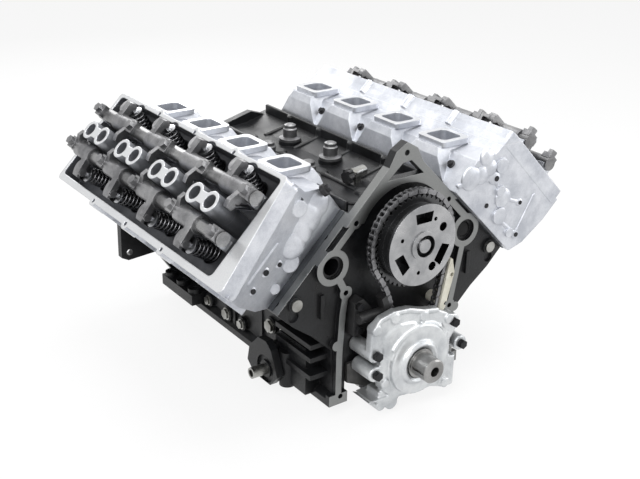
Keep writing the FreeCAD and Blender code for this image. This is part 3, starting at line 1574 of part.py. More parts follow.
def oil_pump_housing():
    """Die-cast pump round the crank nose, on four legs that straddle the chain."""
    back = FRONT - size("pump_back")
    front = FRONT - size("pump_front")
    outline = [
        (-66, -30), (-68, 18), (-88, 38), (-86, 74), (-70, 88), (-46, 93), (-18, 90), (10, 80),
        (40, 74), (66, 60), (84, 34), (70, 14), (70, -14), (76, -54), (64, -70), (36, -60),
        (-12, -58), (-44, -54),
    ]
    body = padded("pump_casting", outline, "Sizes.pump_front-Sizes.pump_back-8")
    casting = placed(body.Shape, V(0, back, 0), FACING_FRONT)
    parts = [casting]
    parts.append(along_y(ROTOR_MIDDLE.x, 0, front, back, size("rotor_ring_radius") + 8))
    parts.append(along_y(0, 0, front - 4, back, 36))
    parts.append(prism([(x * 0.74, z * 0.74 + 2) for x, z in outline], front + 5, back))
    for (x, z), seat in zip(PUMP_BOLTS, PUMP_SEATS):
        parts.append(along_y(x, z, back - 14, seat, 12.5))
    for start, end in zip(outline[3:8], outline[4:9]):
        parts.append(capsule(start, end, back - 17, back - 3, 7))
    parts.append(prism([(-88, -80), (-30, -80), (-30, -50), (-88, -50)], back - 14, FRONT))
    parts.append(rod(V(73, back - 10, -14), V(73, back - 10, -66), 9))
    pump = joined(parts)
    start, end = rotor_span()
    gap = size("moving_gap")
    tools = [along_y(ROTOR_MIDDLE.x, 0, start - gap, end + gap,
                     size("rotor_ring_radius") + gap)]
    tools.append(along_y(0, 0, front - 20, back + 40, size("hub_radius") + gap))
    wheel = size("crank_sprocket_pitch") + size("chain_thickness")
    tools.append(along_y(0, 0, back, FRONT + 1, wheel + 4))
    for x, z in PUMP_BOLTS:
        tools.append(along_y(x, z, front - 20, CASTING_FRONT, 4.2))
    tools.append(along_y(-62, -65, back - 30, FRONT + 1, 9))
    return pump.cut(Part.makeCompound(tools))


def front_bolts():
    """Bolts of the pump and the tensioner."""
    bolts = []
    head_seat = FRONT - size("pump_back") - 14.02
    for (x, z), seat in zip(PUMP_BOLTS, PUMP_SEATS):
        reach = seat - head_seat + (12 if seat > FRONT + 3 else -1)
        bolts.append(bolt((x, head_seat, z), Y_AXIS, 4, reach, 13, 8))
    for x, z in TENSIONER_BOLTS:
        bolts.append(bolt((x, FRONT - 12.02, z), Y_AXIS, 3.1, 32, 11, 6))
    return bolts


# ---------------------------------------------------------------- fittings

def block_fittings():
    """Core plugs, threaded plugs and the oil filter's hollow nipple."""
    pieces = []
    for side, cylinders in SIDES.items():
        for first, second in zip(cylinders, cylinders[1:]):
            y = (first + second) / 2
            u = size("deck_outer")
            cup = rod(V(u + 0.02, y, 214), V(u + 4, y, 214), 17)
            cup = cup.cut(rod(V(u + 1.5, y, 214), V(u + 5, y, 214), 14.5))
            pieces.append(in_bank(side, cup))
    face = V(-size("filter_plate_x"), FRONT + size("filter_y"), -size("filter_drop"))
    nipple = rod(face - X_AXIS * 26, face - X_AXIS * 0.02, size("nipple_radius"))
    bore = rod(face - X_AXIS * 27, face + X_AXIS * 14, 6)
    pieces.append(nipple.cut(bore))
    for sign in (-1, 1):
        for y, z, radius in SIDE_PLUGS:
            seat = (sign * (size("skirt_half_width") + 7.02), FRONT + y, z)
            head = face_of(hex_points(radius * 1.5)).extrude(V(0, -6, 0))
            head.Placement = FreeCAD.Placement(V(seat), FreeCAD.Rotation(Y_AXIS, X_AXIS * -sign))
            washer = Part.makeCylinder(radius, 2, V(seat), X_AXIS * sign)
            pieces.append(joined([head, washer]))
        pieces.append(along_y(sign * RING_PLUG[0], RING_PLUG[1], FRONT + 1, FRONT + 3.98, 9))
    return pieces


def valley_solenoids():
    """Four round lifter-oil solenoids that stand in the valley."""
    pieces = []
    for x, y in SOLENOIDS:
        profile = [
            (0, 0), (19, 0), (19, 4), (12, 6), (12, 20), (10, 22), (10, 27), (6, 29), (0, 29),
        ]
        body = revolved(f"solenoid_{y}", profile)
        turn = FreeCAD.Rotation(X_AXIS, 90)
        pieces.append(placed(body.Shape, V(x, FRONT + y, SOLENOID_PAD + 0.02), turn))
    return pieces


keep("oil_pump_housing", oil_pump_housing())
keep("pump_inner_rotor", pump_inner_rotor())
keep("pump_outer_rotor", pump_outer_rotor())
group("front_bolts", front_bolts())
group("block_fittings", block_fittings())
group("valley_solenoids", valley_solenoids())


# ---------------------------------------------------------------- checks and export

doc.recompute()
for item in doc.Objects:
    if {"Invalid", "Error"} & set(item.State):
        raise RuntimeError(f"{item.Name} failed: {item.State}")
os.makedirs("parts", exist_ok=True)
for feature in NODES:
    if feature.Shape.isNull() or not feature.Shape.isValid():
        raise RuntimeError(feature.Label + " has no valid shape")
    feature.Shape.exportStep(f"parts/{feature.Label}.step")
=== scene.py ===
# %% [markdown]
# # A V8 long block, dressed for a close look
# The solids already hold every casting, shaft and bolt at its true place.
# This lesson gives each of them the surface of the real metal. It swaps the
# solids that only mark a place, such as springs and the chain, for finer pieces,
# and adds the cast bosses, ribs and small screws that the solids leave out.

# %% Load the frame
import bmesh
import bpy
import json
import math
from mathutils import Matrix, Vector


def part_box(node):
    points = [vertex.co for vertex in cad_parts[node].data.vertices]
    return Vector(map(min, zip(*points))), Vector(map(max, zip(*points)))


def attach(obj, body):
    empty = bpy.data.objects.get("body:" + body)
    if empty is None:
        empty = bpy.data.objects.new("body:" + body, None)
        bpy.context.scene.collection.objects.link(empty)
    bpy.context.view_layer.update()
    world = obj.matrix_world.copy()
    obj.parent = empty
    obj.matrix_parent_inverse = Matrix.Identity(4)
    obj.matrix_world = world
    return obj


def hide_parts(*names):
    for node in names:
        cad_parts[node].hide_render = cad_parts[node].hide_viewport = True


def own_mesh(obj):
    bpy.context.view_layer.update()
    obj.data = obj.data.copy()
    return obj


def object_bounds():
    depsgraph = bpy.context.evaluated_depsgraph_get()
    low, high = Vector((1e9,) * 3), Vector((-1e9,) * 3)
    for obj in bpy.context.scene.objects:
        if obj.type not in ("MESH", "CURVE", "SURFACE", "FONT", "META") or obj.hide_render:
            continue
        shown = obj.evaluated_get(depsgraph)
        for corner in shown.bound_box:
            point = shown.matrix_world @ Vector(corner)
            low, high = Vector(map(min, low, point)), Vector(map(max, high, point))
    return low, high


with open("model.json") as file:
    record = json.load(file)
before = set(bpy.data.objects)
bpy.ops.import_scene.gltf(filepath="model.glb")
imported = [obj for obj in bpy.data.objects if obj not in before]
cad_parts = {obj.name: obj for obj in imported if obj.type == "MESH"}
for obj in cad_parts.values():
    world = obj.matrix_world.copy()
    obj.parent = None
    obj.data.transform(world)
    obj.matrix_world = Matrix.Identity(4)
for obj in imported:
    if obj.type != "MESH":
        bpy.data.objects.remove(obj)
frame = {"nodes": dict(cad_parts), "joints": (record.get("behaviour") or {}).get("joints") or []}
nodes = frame["nodes"]
joints = {joint["name"]: joint for joint in frame["joints"]}
cad_box = [list(corner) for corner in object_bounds()]
MM = 0.001
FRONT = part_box("cylinder_block")[0].y / MM
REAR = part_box("cylinder_block")[1].y / MM
print("solids:", len(nodes), "front face at", round(FRONT, 1), "mm")

# %% [markdown]
# ## Camera, light and floor
# A 58 mm lens from above the front of the right bank shows the open rocker pocket
# and the timing drive together. Metal looks like what it reflects, so the room is
# white, and wide lamps model the shapes. Small lamps would be quicker to place,
# but they leave hard shadows and glaring spots on bare castings.

# %% Camera
LENS = 58.164
SENSOR_WIDTH = 36
NEAREST = 0.05
EYE = Vector((-0.9284, -1.5977, 0.7904))
SIGHT = Vector((0.54, 0.7421, -0.397)).normalized()
UPWARD = Vector((0.2183, 0.3321, 0.9176))


def looking(eye, sight, upward):
    """A placement whose local -z points along sight, with upward as near y as it can be."""
    right = sight.cross(upward).normalized()
    up = right.cross(sight)
    turn = Matrix((right, up, -sight)).transposed().to_4x4()
    return Matrix.Translation(eye) @ turn


lens = bpy.data.cameras.new("studio_camera")
lens.lens = LENS
lens.sensor_width = SENSOR_WIDTH
lens.clip_start = NEAREST
camera = bpy.data.objects.new("studio_camera", lens)
camera.matrix_world = looking(EYE, SIGHT, UPWARD)
bpy.context.scene.collection.objects.link(camera)
bpy.context.scene.camera = camera
print("camera:", round(EYE.length, 2), "m from the origin")

# %% One function for every node


def add(tree, kind, inputs=None, **settings):
    """Adds a node, sets its settings, and fills its inputs with values or with links."""
    node = tree.nodes.new(kind)
    for key, value in settings.items():
        setattr(node, key, value)
    for key, value in (inputs or {}).items():
        if isinstance(value, bpy.types.NodeSocket):
            tree.links.new(value, node.inputs[key])
        else:
            node.inputs[key].default_value = value
    return node


def rgb(text):
    """Turns an sRGB hex colour into the linear colour that shaders work in."""
    channels = [int(text[i:i + 2], 16) / 255 for i in (1, 3, 5)]
    return [c / 12.92 if c <= 0.04045 else ((c + 0.055) / 1.055) ** 2.4 for c in channels] + [1]


# %% Lamps
# each lamp has its place and its width in metres, and its power in watts
LAMPS = {
    "key_softbox": ((-1.5, -1.3, 1.5), 1.1, 26),
    "overhead_softbox": ((0.2, -0.3, 1.9), 1.5, 30),
    "right_fill": ((1.7, -1.3, 0.7), 1.2, 13),
    "back_strip": ((0.5, 1.6, 1.1), 1.0, 12),
}
MIDDLE = (Vector(cad_box[0]) + Vector(cad_box[1])) / 2
for name, (place, width, power) in LAMPS.items():
    lamp = bpy.data.lights.new(name, "AREA")
    lamp.size = width
    lamp.energy = power
    holder = bpy.data.objects.new(name, lamp)
    toward = (MIDDLE - Vector(place)).normalized()
    holder.matrix_world = looking(Vector(place), toward, Vector((0, 0, 1)))
    bpy.context.scene.collection.objects.link(holder)
print("lamps:", len(LAMPS))

# %% A white room
ROOM_LIGHT = 0.42


def seen_directly(tree):
    """1 where a ray comes from the camera, a mirror-like face or through glass, else 0."""
    path = add(tree, "ShaderNodeLightPath").outputs
    direct = add(tree, "ShaderNodeMath", {0: path["Is Camera Ray"], 1: path["Is Glossy Ray"]},
                 operation="MAXIMUM")
    return add(tree, "ShaderNodeMath", {0: direct.outputs[0], 1: path["Is Transmission Ray"]},
               operation="MAXIMUM").outputs[0]


world = bpy.data.worlds.new("white_studio")
world.use_nodes = True
room = world.node_tree
room.nodes.clear()
strength = add(room, "ShaderNodeMapRange", {0: seen_directly(room), 3: ROOM_LIGHT, 4: 1.0})
backdrop = add(room, "ShaderNodeBackground", {"Color": (1, 1, 1, 1), "Strength": strength.outputs[0]})
add(room, "ShaderNodeOutputWorld", {"Surface": backdrop.outputs[0]})
bpy.context.scene.world = world
bpy.context.scene.view_settings.view_transform = "Standard"

# %% Floor
FLOOR_HALF = 6.0
SHADOW_SHARE = 0.14
floor_mesh = bpy.data.meshes.new("floor")
corners = [(x * FLOOR_HALF, y * FLOOR_HALF, cad_box[0][2]) for x, y in
           ((-1, -1), (1, -1), (1, 1), (-1, 1))]
floor_mesh.from_pydata(corners, [], [(0, 1, 2, 3)])
floor = bpy.data.objects.new("floor", floor_mesh)
bpy.context.scene.collection.objects.link(floor)
paper = bpy.data.materials.new("white_studio_paper")
paper.use_nodes = True
sheet = paper.node_tree
sheet.nodes.clear()
matt = add(sheet, "ShaderNodeBsdfDiffuse", {"Color": rgb("#f4f4f4")})
glow = add(sheet, "ShaderNodeEmission", {"Color": (1, 1, 1, 1)})
share = add(sheet, "ShaderNodeMath", {0: seen_directly(sheet), 1: 1 - SHADOW_SHARE},
            operation="MULTIPLY")
mixed = add(sheet, "ShaderNodeMixShader", {0: share.outputs[0], 1: matt.outputs[0],
            2: glow.outputs[0]})
add(sheet, "ShaderNodeOutputMaterial", {"Surface": mixed.outputs[0]})
floor.data.materials.append(paper)

# %% [markdown]
# ## Metals and plastics
# Every finish starts from how the surface was made. Sand casting leaves a grain
# of about two millimetres, milling takes it away, paint lies over it, and oil and
# handling stain all of them. A picture could be wrapped round each part, but a
# recipe in object coordinates needs no unwrapping and keeps the grain in true
# millimetres. Zones say where a cutter has bared the metal.

# %% Measures that the zones use
HALF_ROOT = math.sqrt(0.5)


def measures(tree):
    """Object coordinates, and the bank coordinates u (outward) and w (up the bore)."""
    place = add(tree, "ShaderNodeTexCoord").outputs["Object"]
    axes = add(tree, "ShaderNodeSeparateXYZ", {0: place}).outputs
    out = add(tree, "ShaderNodeMath", {0: axes[0]}, operation="ABSOLUTE").outputs[0]
    m = {"place": place, "x": axes[0], "y": axes[1], "z": axes[2]}
    for letter, operation in (("u", "SUBTRACT"), ("w", "ADD")):
        total = add(tree, "ShaderNodeMath", {0: out, 1: axes[2]}, operation=operation)
        m[letter] = add(tree, "ShaderNodeMath", {0: total.outputs[0], 1: HALF_ROOT},
                        operation="MULTIPLY").outputs[0]
    return m


def above(tree, value, limit_mm):
    """1 where a measure is over a limit in millimetres."""
    return add(tree, "ShaderNodeMath", {0: value, 1: limit_mm * MM},
               operation="GREATER_THAN").outputs[0]


def below(tree, value, limit_mm):
    """1 where a measure is under a limit in millimetres."""
    return add(tree, "ShaderNodeMath", {0: value, 1: limit_mm * MM},
               operation="LESS_THAN").outputs[0]


def both(tree, first, *others):
    """Masks multiplied together, so it is 1 only where each of them is 1."""
    for other in others:
        first = add(tree, "ShaderNodeMath", {0: first, 1: other}, operation="MULTIPLY").outputs[0]
    return first


def either(tree, first, *others):
    """1 where any mask is 1."""
    for other in others:
        first = add(tree, "ShaderNodeMath", {0: first, 1: other}, operation="MAXIMUM").outputs[0]
    return first


def between(tree, value, low_mm, high_mm):
    """1 where a measure lies between two limits in millimetres."""
    return both(tree, above(tree, value, low_mm), below(tree, value, high_mm))


# %% Grain and stains
# the wide patches are about 45 mm across, which is 1 m / 22
PATCH_SCALE = 22.0
MOTTLE_RANGE = (0.38, 0.68)
SPECK_RANGE = (0.35, 0.75)
SPECK_SHARE = 0.35


def stains(tree, m, grain_mm):
    """The fine grain, the wide patches, the specks in the grain, and specks and patches together."""
    grain = add(tree, "ShaderNodeTexNoise", {"Vector": m["place"], "Scale": 1 / (grain_mm * MM),
                "Detail": 4.0, "Roughness": 0.6}).outputs[0]
    patches = add(tree, "ShaderNodeTexNoise", {"Vector": m["place"], "Scale": PATCH_SCALE,
                  "Detail": 5.0, "Roughness": 0.62}).outputs[0]
    mottle = add(tree, "ShaderNodeMapRange", {0: patches, 1: MOTTLE_RANGE[0], 2: MOTTLE_RANGE[1]})
    specks = add(tree, "ShaderNodeMapRange", {0: grain, 1: SPECK_RANGE[0], 2: SPECK_RANGE[1],
                 3: 0.0, 4: SPECK_SHARE}).outputs[0]
    total = add(tree, "ShaderNodeMath", {0: mottle.outputs[0], 1: specks}, operation="ADD")
    stained = add(tree, "ShaderNodeMath", {0: total.outputs[0], 1: 1.0}, operation="MINIMUM")
    return grain, patches, specks, stained.outputs[0]


# %% The recipe for a surface
GLOSS_RANGE = (0.3, 0.7)
SMOOTHER, ROUGHER = 0.08, 0.1
SMOOTHEST = 0.05
GRAIN_MILLED_AWAY = 0.85
MILLED_IRON = "#6f7173"


def surface(name, colour, stain, metallic, roughness, grain_mm, bump_mm, edge_mm=0.5,
            zone=None, bare=None, shade=None, dark="#1b1c1e", sheen=0.5):
    """A finish: mottled colour, uneven gloss, grain and softened edges.

    zone(tree, m) returns a mask, and there the surface is bare = (colour, roughness, metallic).
    shade(tree, m) returns a mask of painted shade, where the colour is turned towards dark:
    in the rocker pocket, where oil darkens it too, and behind the phaser's disc.
    """
    material = bpy.data.materials.new(name)
    material.use_nodes = True
    tree = material.node_tree
    tree.nodes.clear()
    m = measures(tree)
    grain, patches, specks, stained = stains(tree, m, grain_mm)
    tint = add(tree, "ShaderNodeMix", {0: stained, 6: rgb(colour), 7: rgb(stain)},
               data_type="RGBA").outputs[2]
    gloss = add(tree, "ShaderNodeMapRange", {0: patches, 1: GLOSS_RANGE[0], 2: GLOSS_RANGE[1],
                3: max(roughness - SMOOTHER, SMOOTHEST), 4: roughness + ROUGHER}).outputs[0]
    shader = add(tree, "ShaderNodeBsdfPrincipled", {"Specular IOR Level": sheen})
    shader.inputs["Metallic"].default_value = metallic
    height = grain
    if zone:
        mask = zone(tree, m)
        bare_colour, bare_roughness, bare_metallic = bare
        milled = add(tree, "ShaderNodeMix", {0: specks, 6: rgb(bare_colour),
                     7: rgb(stain if metallic else MILLED_IRON)}, data_type="RGBA").outputs[2]
        tint = add(tree, "ShaderNodeMix", {0: mask, 6: tint, 7: milled}, data_type="RGBA").outputs[2]
        gloss = add(tree, "ShaderNodeMix", {0: mask, 2: gloss, 3: bare_roughness}).outputs[0]
        milled_away = add(tree, "ShaderNodeMath", {0: mask, 1: GRAIN_MILLED_AWAY},
                          operation="MULTIPLY")
        kept = add(tree, "ShaderNodeMath", {0: 1.0, 1: milled_away.outputs[0]}, operation="SUBTRACT")
        height = add(tree, "ShaderNodeMath", {0: height, 1: kept.outputs[0]},
                     operation="MULTIPLY").outputs[0]
        if bare_metallic != metallic:
            blended = add(tree, "ShaderNodeMix", {0: mask, 2: metallic, 3: bare_metallic})
            tree.links.new(blended.outputs[0], shader.inputs["Metallic"])
    # painted shade: the colour turns towards dark wherever the shade mask is 1
    if shade:
        tint = add(tree, "ShaderNodeMix", {0: shade(tree, m), 6: tint, 7: rgb(dark)},
                   data_type="RGBA").outputs[2]
    rounding = add(tree, "ShaderNodeBevel", {"Radius": edge_mm * MM}, samples=4)
    bump = add(tree, "ShaderNodeBump", {"Strength": 1.0, "Distance": bump_mm * MM,
               "Height": height, "Normal": rounding.outputs[0]})
    tree.links.new(tint, shader.inputs["Base Color"])
    tree.links.new(gloss, shader.inputs["Roughness"])
    tree.links.new(bump.outputs[0], shader.inputs["Normal"])
    add(tree, "ShaderNodeOutputMaterial", {"Surface": shader.outputs[0]})
    return material


# %% [markdown]
# ## Where a cutter has been, and where shade is painted
# On the real castings the gasket faces shine and the rocker pockets are dark with
# oil. Here shade is also painted into the colour: deep in the rocker pockets, and
# behind the phaser's front disc. Each face could have a material of its own, but
# every solid comes as one mesh with one finish, so a mask finds the faces by where
# they lie.

# %% Limits of the zones, in millimetres
# w runs up the bore from the crank's axis, and u runs outward from the bore's axis
DECK = 235
RAIL_TOP = 369.0
RAIL_LIP = 2
TOWER_TOP = 406.7
TOWER_SIDES = (-20, 30)
EXHAUST_FACE = 101
PORT_FACE = 300.3
PAN_RAIL = -63.0
POCKET_FLOOR = 318
POCKET_SIDES = (-76.2, 84.3)
POCKET_FRONT = FRONT - 7
POCKET_LENGTH = 488
POCKET_STAGGER = 18
# painted shade in the rocker pocket, with oil: strongest low in the pocket, weaker up by the rail
POCKET_SHADE_RANGE = (330, 405)
SHADE_DEEP, SHADE_HIGH = 0.9, 0.35
# painted shade on the phaser, behind its front disc
PHASER_FACE = FRONT - 45.7
PHASER_DISC = 0.8
PHASER_SHADE_SHARE = 0.82
SKIN = 0.25


def face_at(tree, value, level_mm):
    """1 on a face that lies at a level, within the thickness of a skin."""
    return between(tree, value, level_mm - SKIN, level_mm + SKIN)


def block_cuts(tree, m):
    """The gasket faces at both ends, the pan rail and the decks."""
    return either(tree, below(tree, m["y"], FRONT + SKIN), above(tree, m["y"], REAR - SKIN),
                  below(tree, m["z"], PAN_RAIL + SKIN), face_at(tree, m["w"], DECK))


def head_cuts(tree, m):
    """Cover rail, intake port faces, exhaust faces and the tops of the plug towers."""
    return either(tree, face_at(tree, m["w"], RAIL_TOP), face_at(tree, m["z"], PORT_FACE),
                  above(tree, m["w"], TOWER_TOP - SKIN), above(tree, m["u"], EXHAUST_FACE - SKIN))


def pocket_shade_and_oil(tree, m):
    """Inside the rocker pocket and on the towers: painted shade, darkest deep in the pocket, and oil.
    """
    low = below(tree, m["w"], RAIL_TOP - RAIL_LIP)
    inside = both(tree, between(tree, m["u"], *POCKET_SIDES), above(tree, m["w"], POCKET_FLOOR))
    tower = both(tree, between(tree, m["w"], RAIL_TOP - RAIL_LIP, TOWER_TOP - SKIN),
                 between(tree, m["u"], *TOWER_SIDES))
    # the right bank's pocket starts further back than the left bank's
    shift = add(tree, "ShaderNodeMath", {0: below(tree, m["x"], 0), 1: POCKET_STAGGER * MM},
                operation="MULTIPLY")
    along = add(tree, "ShaderNodeMath", {0: m["y"], 1: shift.outputs[0]}, operation="SUBTRACT")
    walls = between(tree, along.outputs[0], POCKET_FRONT, POCKET_FRONT + POCKET_LENGTH)
    depth = add(tree, "ShaderNodeMapRange", {0: m["w"], 1: POCKET_SHADE_RANGE[0] * MM,
                2: POCKET_SHADE_RANGE[1] * MM, 3: SHADE_DEEP, 4: SHADE_HIGH}).outputs[0]
    return both(tree, either(tree, both(tree, low, inside), tower), walls, depth)


def phaser_painted_shade(tree, m):
    """Everything behind the phaser's front disc, darkened as painted shade."""
    return both(tree, above(tree, m["y"], PHASER_FACE + PHASER_DISC), PHASER_SHADE_SHARE)


# %% The castings' finishes
# painted iron: satin black paint over a coarse sand-cast skin, bare grey where milled
painted_iron = surface("black_painted_cast_iron", "#0b0b0c", "#1c1d1f", 0.0, 0.34, 2.2, 0.4,
                       1.2, block_cuts, ("#8b8c8b", 0.38, 1.0), sheen=0.3)
# the same paint on a casting that no cutter has touched
black_casting = surface("black_painted_casting", "#0b0b0c", "#1c1d1f", 0.0, 0.34, 2.2, 0.4, 1.2,
                        sheen=0.3)
# sand-cast aluminium: pale, faintly blue, finer sand skin with bright milled faces, and
# painted shade mixed with oil in the rocker pocket
cast_aluminium = surface("sand_cast_aluminium", "#d6d8dd", "#b2b5bc", 0.85, 0.42, 1.8, 0.3,
                         2.2, head_cuts, ("#dcddde", 0.32, 0.85), pocket_shade_and_oil, "#26272a")
# die-cast aluminium: a steel mould leaves it smoother and brighter than sand does
pump_aluminium = surface("die_cast_aluminium", "#dddfe0", "#b6b9bc", 0.8, 0.36, 1.4, 0.16, 1.6)
# bare cast iron: dull grey-brown with a coarse grain
cap_iron = surface("bare_cast_iron", "#6b6a69", "#4e4d4c", 0.9, 0.5, 2.0, 0.25, 0.8)
# piston alloy: turned all over, so pale and even
piston_alloy = surface("turned_piston_alloy", "#c4c5c8", "#a2a3a6", 1.0, 0.32, 1.2, 0.04, 0.6)

# %% The steels' finishes
# forged: mid grey, with a faint scale that spreads the highlights
forged_steel = surface("forged_steel", "#a3a3a4", "#717173", 1.0, 0.38, 1.4, 0.12, 0.8)
# turned: a bright front disc, with painted shade making it nearly black behind the disc
phaser_steel = surface("turned_phaser_steel", "#b9b9ba", "#929395", 1.0, 0.28, 1.2, 0.03, 0.5,
                       shade=phaser_painted_shade, dark="#222325")
# ground, then dulled by running in oil
shaft_steel = surface("oiled_shaft_steel", "#9d9d9d", "#6c6c6d", 1.0, 0.32, 1.8, 0.05, 0.6)
# ground: bright, with almost no grain
ground_steel = surface("ground_steel", "#c3c4c6", "#9c9da0", 1.0, 0.26, 0.8, 0.02, 0.4)
# machined: a little darker and less sharp than ground steel
crank_steel = surface("machined_crank_steel", "#a9a9a8", "#868584", 1.0, 0.30, 1.5, 0.05, 0.8)
# chain: mid grey with dark patches of oil
chain_steel = surface("oiled_chain_steel", "#98989a", "#5f5f61", 1.0, 0.34, 1.0, 0.03, 0.25)
# black oxide: nearly black, with a dull metal gloss
black_oxide = surface("black_oxide_steel", "#222224", "#3a3a3c", 0.9, 0.40, 0.9, 0.05, 0.5)
# spring wire: dark and smooth, so each turn carries a thin highlight
spring_wire = surface("dark_spring_wire", "#757577", "#474749", 1.0, 0.2, 1.0, 0.02, 0.2)
# bearing overlay: soft metal with a warm tone
bearing_metal = surface("bearing_overlay", "#b9b4ab", "#98938a", 1.0, 0.3, 1.0, 0.02, 0.2)
# coated gasket sheet: dull and dark
gasket_steel = surface("coated_gasket_steel", "#55585c", "#3f4144", 0.6, 0.5, 1.0, 0.03, 0.2)
# zinc plate: pale grey with duller patches
zinc_plate = surface("zinc_plated_steel", "#b4b4b1", "#85847f", 1.0, 0.33, 0.9, 0.04, 0.5)
# pressed solenoid can: mid grey, softly shining
solenoid_steel = surface("pressed_solenoid_steel", "#8c8c8d", "#5c5c5d", 0.9, 0.42, 1.2, 0.05, 0.8)

# %% The plastics' finishes
# moulded nylon: no metal in it, so its highlights are soft and white
ivory_nylon = surface("ivory_moulded_nylon", "#dedbcf", "#c2beae", 0.0, 0.45, 1.5, 0.04, 0.8)
black_nylon = surface("black_moulded_nylon", "#161617", "#242425", 0.0, 0.45, 1.5, 0.05, 0.8)

# %% A finish for every solid
FINISHES = {
    "cylinder_block": painted_iron, "main_bearing_caps": cap_iron, "main_cap_bolts": black_oxide,
    "main_bearings": bearing_metal, "crankshaft": crank_steel, "crank_sprocket": chain_steel,
    "pistons": piston_alloy, "connecting_rods": forged_steel, "camshaft": crank_steel,
    "valve_lifters": ground_steel, "pushrods": ground_steel, "left_cylinder_head": cast_aluminium,
    "right_cylinder_head": cast_aluminium, "head_gaskets": gasket_steel,
    "head_bolts": black_oxide, "rocker_shafts": shaft_steel, "rocker_shaft_bolts": forged_steel,
    "chain_guide": ivory_nylon, "chain_tensioner": black_nylon, "cam_phaser": phaser_steel,
    "oil_pump_housing": pump_aluminium, "pump_inner_rotor": ground_steel,
    "pump_outer_rotor": ground_steel, "front_bolts": black_oxide,
    "block_fittings": zinc_plate, "valley_solenoids": solenoid_steel,
}
for name, node in nodes.items():
    if "_rocker_" in name:
        finish = forged_steel
    elif "_valve_" in name:
        finish = ground_steel
    else:
        finish = FINISHES.get(name, chain_steel)
    node.data.materials.clear()
    node.data.materials.append(finish)
print("materials:", len(bpy.data.materials))

# %% [markdown]
# ## Helpers for the finer pieces
# A bank leans 45 degrees, so its parts are laid out in bank coordinates and then
# turned. Whatever repeats could be copied in a loop, but Geometry Nodes make it all
# at once, with named inputs for its sizes. The result is kept as one plain mesh.

# %% Places and plain meshes
SIDES = {"left": 1, "right": -1}
SOFT_EDGE = 38
CRISP_EDGE = 25


def bank(side, u, y, w):
    """A point given in millimetres in a bank's own coordinates, in metres in the row frame."""
    across = (u + w) * HALF_ROOT * SIDES[side]
    return Vector((across, y, (w - u) * HALF_ROOT)) * MM


def smooth(mesh, degrees=SOFT_EDGE):
    """Smooth shading, with edges kept crisp where faces meet at more than an angle."""
    mesh.shade_smooth()
    mesh.set_sharp_from_angle(angle=math.radians(degrees))
    return mesh


def piece(name, mesh, body, slot, finish, *replaced):
    """Shows a finished mesh as a piece that rides on a body."""
    obj = bpy.data.objects.new(name, mesh)
    bpy.context.scene.collection.objects.link(obj)
    mesh.materials.clear()
    mesh.materials.append(finish)
    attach(obj, body)
    if replaced:
        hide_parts(*replaced)
    print(name, len(mesh.polygons), "faces")
    return obj


# %% Running a Geometry Nodes tree once
def new_tree(name, inputs):
    """An empty tree with named inputs, and its input and output nodes."""
    tree = bpy.data.node_groups.new(name, "GeometryNodeTree")
    tree.interface.new_socket("Geometry", in_out="INPUT", socket_type="NodeSocketGeometry")
    for label, kind in inputs.items():
        tree.interface.new_socket(label, in_out="INPUT", socket_type="NodeSocket" + kind)
    tree.interface.new_socket("Geometry", in_out="OUTPUT", socket_type="NodeSocketGeometry")
    return tree, add(tree, "NodeGroupInput"), add(tree, "NodeGroupOutput")


def end_tree(tree, made, given, result):
    """Closes a tree: instances become real and take the metal that was given."""
    real = add(tree, "GeometryNodeRealizeInstances", {0: made})
    done = add(tree, "GeometryNodeSetMaterial", {
        "Geometry": real.outputs[0], "Material": given.outputs["Metal"]})
    tree.links.new(done.outputs[0], result.inputs[0])


def evaluated(holder):
    """The plain mesh that an object's modifiers make; the object is then removed."""
    graph = bpy.context.evaluated_depsgraph_get()
    mesh = bpy.data.meshes.new_from_object(holder.evaluated_get(graph))
    bpy.data.objects.remove(holder)
    return mesh


def grow(tree, values, start=None):
    """Runs a tree on a start mesh and returns what it makes as a plain mesh."""
    start = start or bpy.data.meshes.new("start")
    holder = bpy.data.objects.new("start", start)
    bpy.context.scene.collection.objects.link(holder)
    modifier = holder.modifiers.new("grow", "NODES")
    modifier.node_group = tree
    for item in tree.interface.items_tree:
        if item.in_out == "INPUT" and item.name in values:
            modifier[item.identifier] = values[item.name]
    return evaluated(holder)


# %% [markdown]
# ## Valve springs
# A valve spring is one hardened wire wound in a cone, so that its turns don't all
# ring at one pitch. A round bar could be bent turn by turn, but a spiral curve with
# a round profile is exactly that shape. One is wound and then copied sixteen times,
# one piece for each valve, set along the engine at its rocker's joint.

# %% The spring tree
SPRING = {"Length": 43.0, "Top radius": 11.2, "Seat radius": 14.6, "Wire radius": 1.95,
          "Turns": 6.2}
STEPS_PER_TURN = 22
WIRE_SIDES = 8

spring_tree, given, result = new_tree("valve_spring", {
    "Length": "Float", "Top radius": "Float", "Seat radius": "Float", "Wire radius": "Float",
    "Turns": "Float", "Metal": "Material"})
coil = add(spring_tree, "GeometryNodeCurveSpiral", {
    "Resolution": STEPS_PER_TURN, "Rotations": given.outputs["Turns"],
    "Start Radius": given.outputs["Seat radius"], "End Radius": given.outputs["Top radius"],
    "Height": given.outputs["Length"]})
ring = add(spring_tree, "GeometryNodeCurvePrimitiveCircle", {
    "Resolution": WIRE_SIDES, "Radius": given.outputs["Wire radius"]})
wire = add(spring_tree, "GeometryNodeCurveToMesh", {
    "Curve": coil.outputs[0], "Profile Curve": ring.outputs[0], "Fill Caps": True})
end_tree(spring_tree, wire.outputs[0], given, result)

# %% One spring, standing at the origin
spring_sizes = {key: value * MM for key, value in SPRING.items() if key != "Turns"}
spring_sizes["Length"] -= 2 * SPRING["Wire radius"] * MM
spring_blank = grow(spring_tree, {**spring_sizes, "Turns": SPRING["Turns"], "Metal": spring_wire})
print("spring:", len(spring_blank.polygons), "faces")

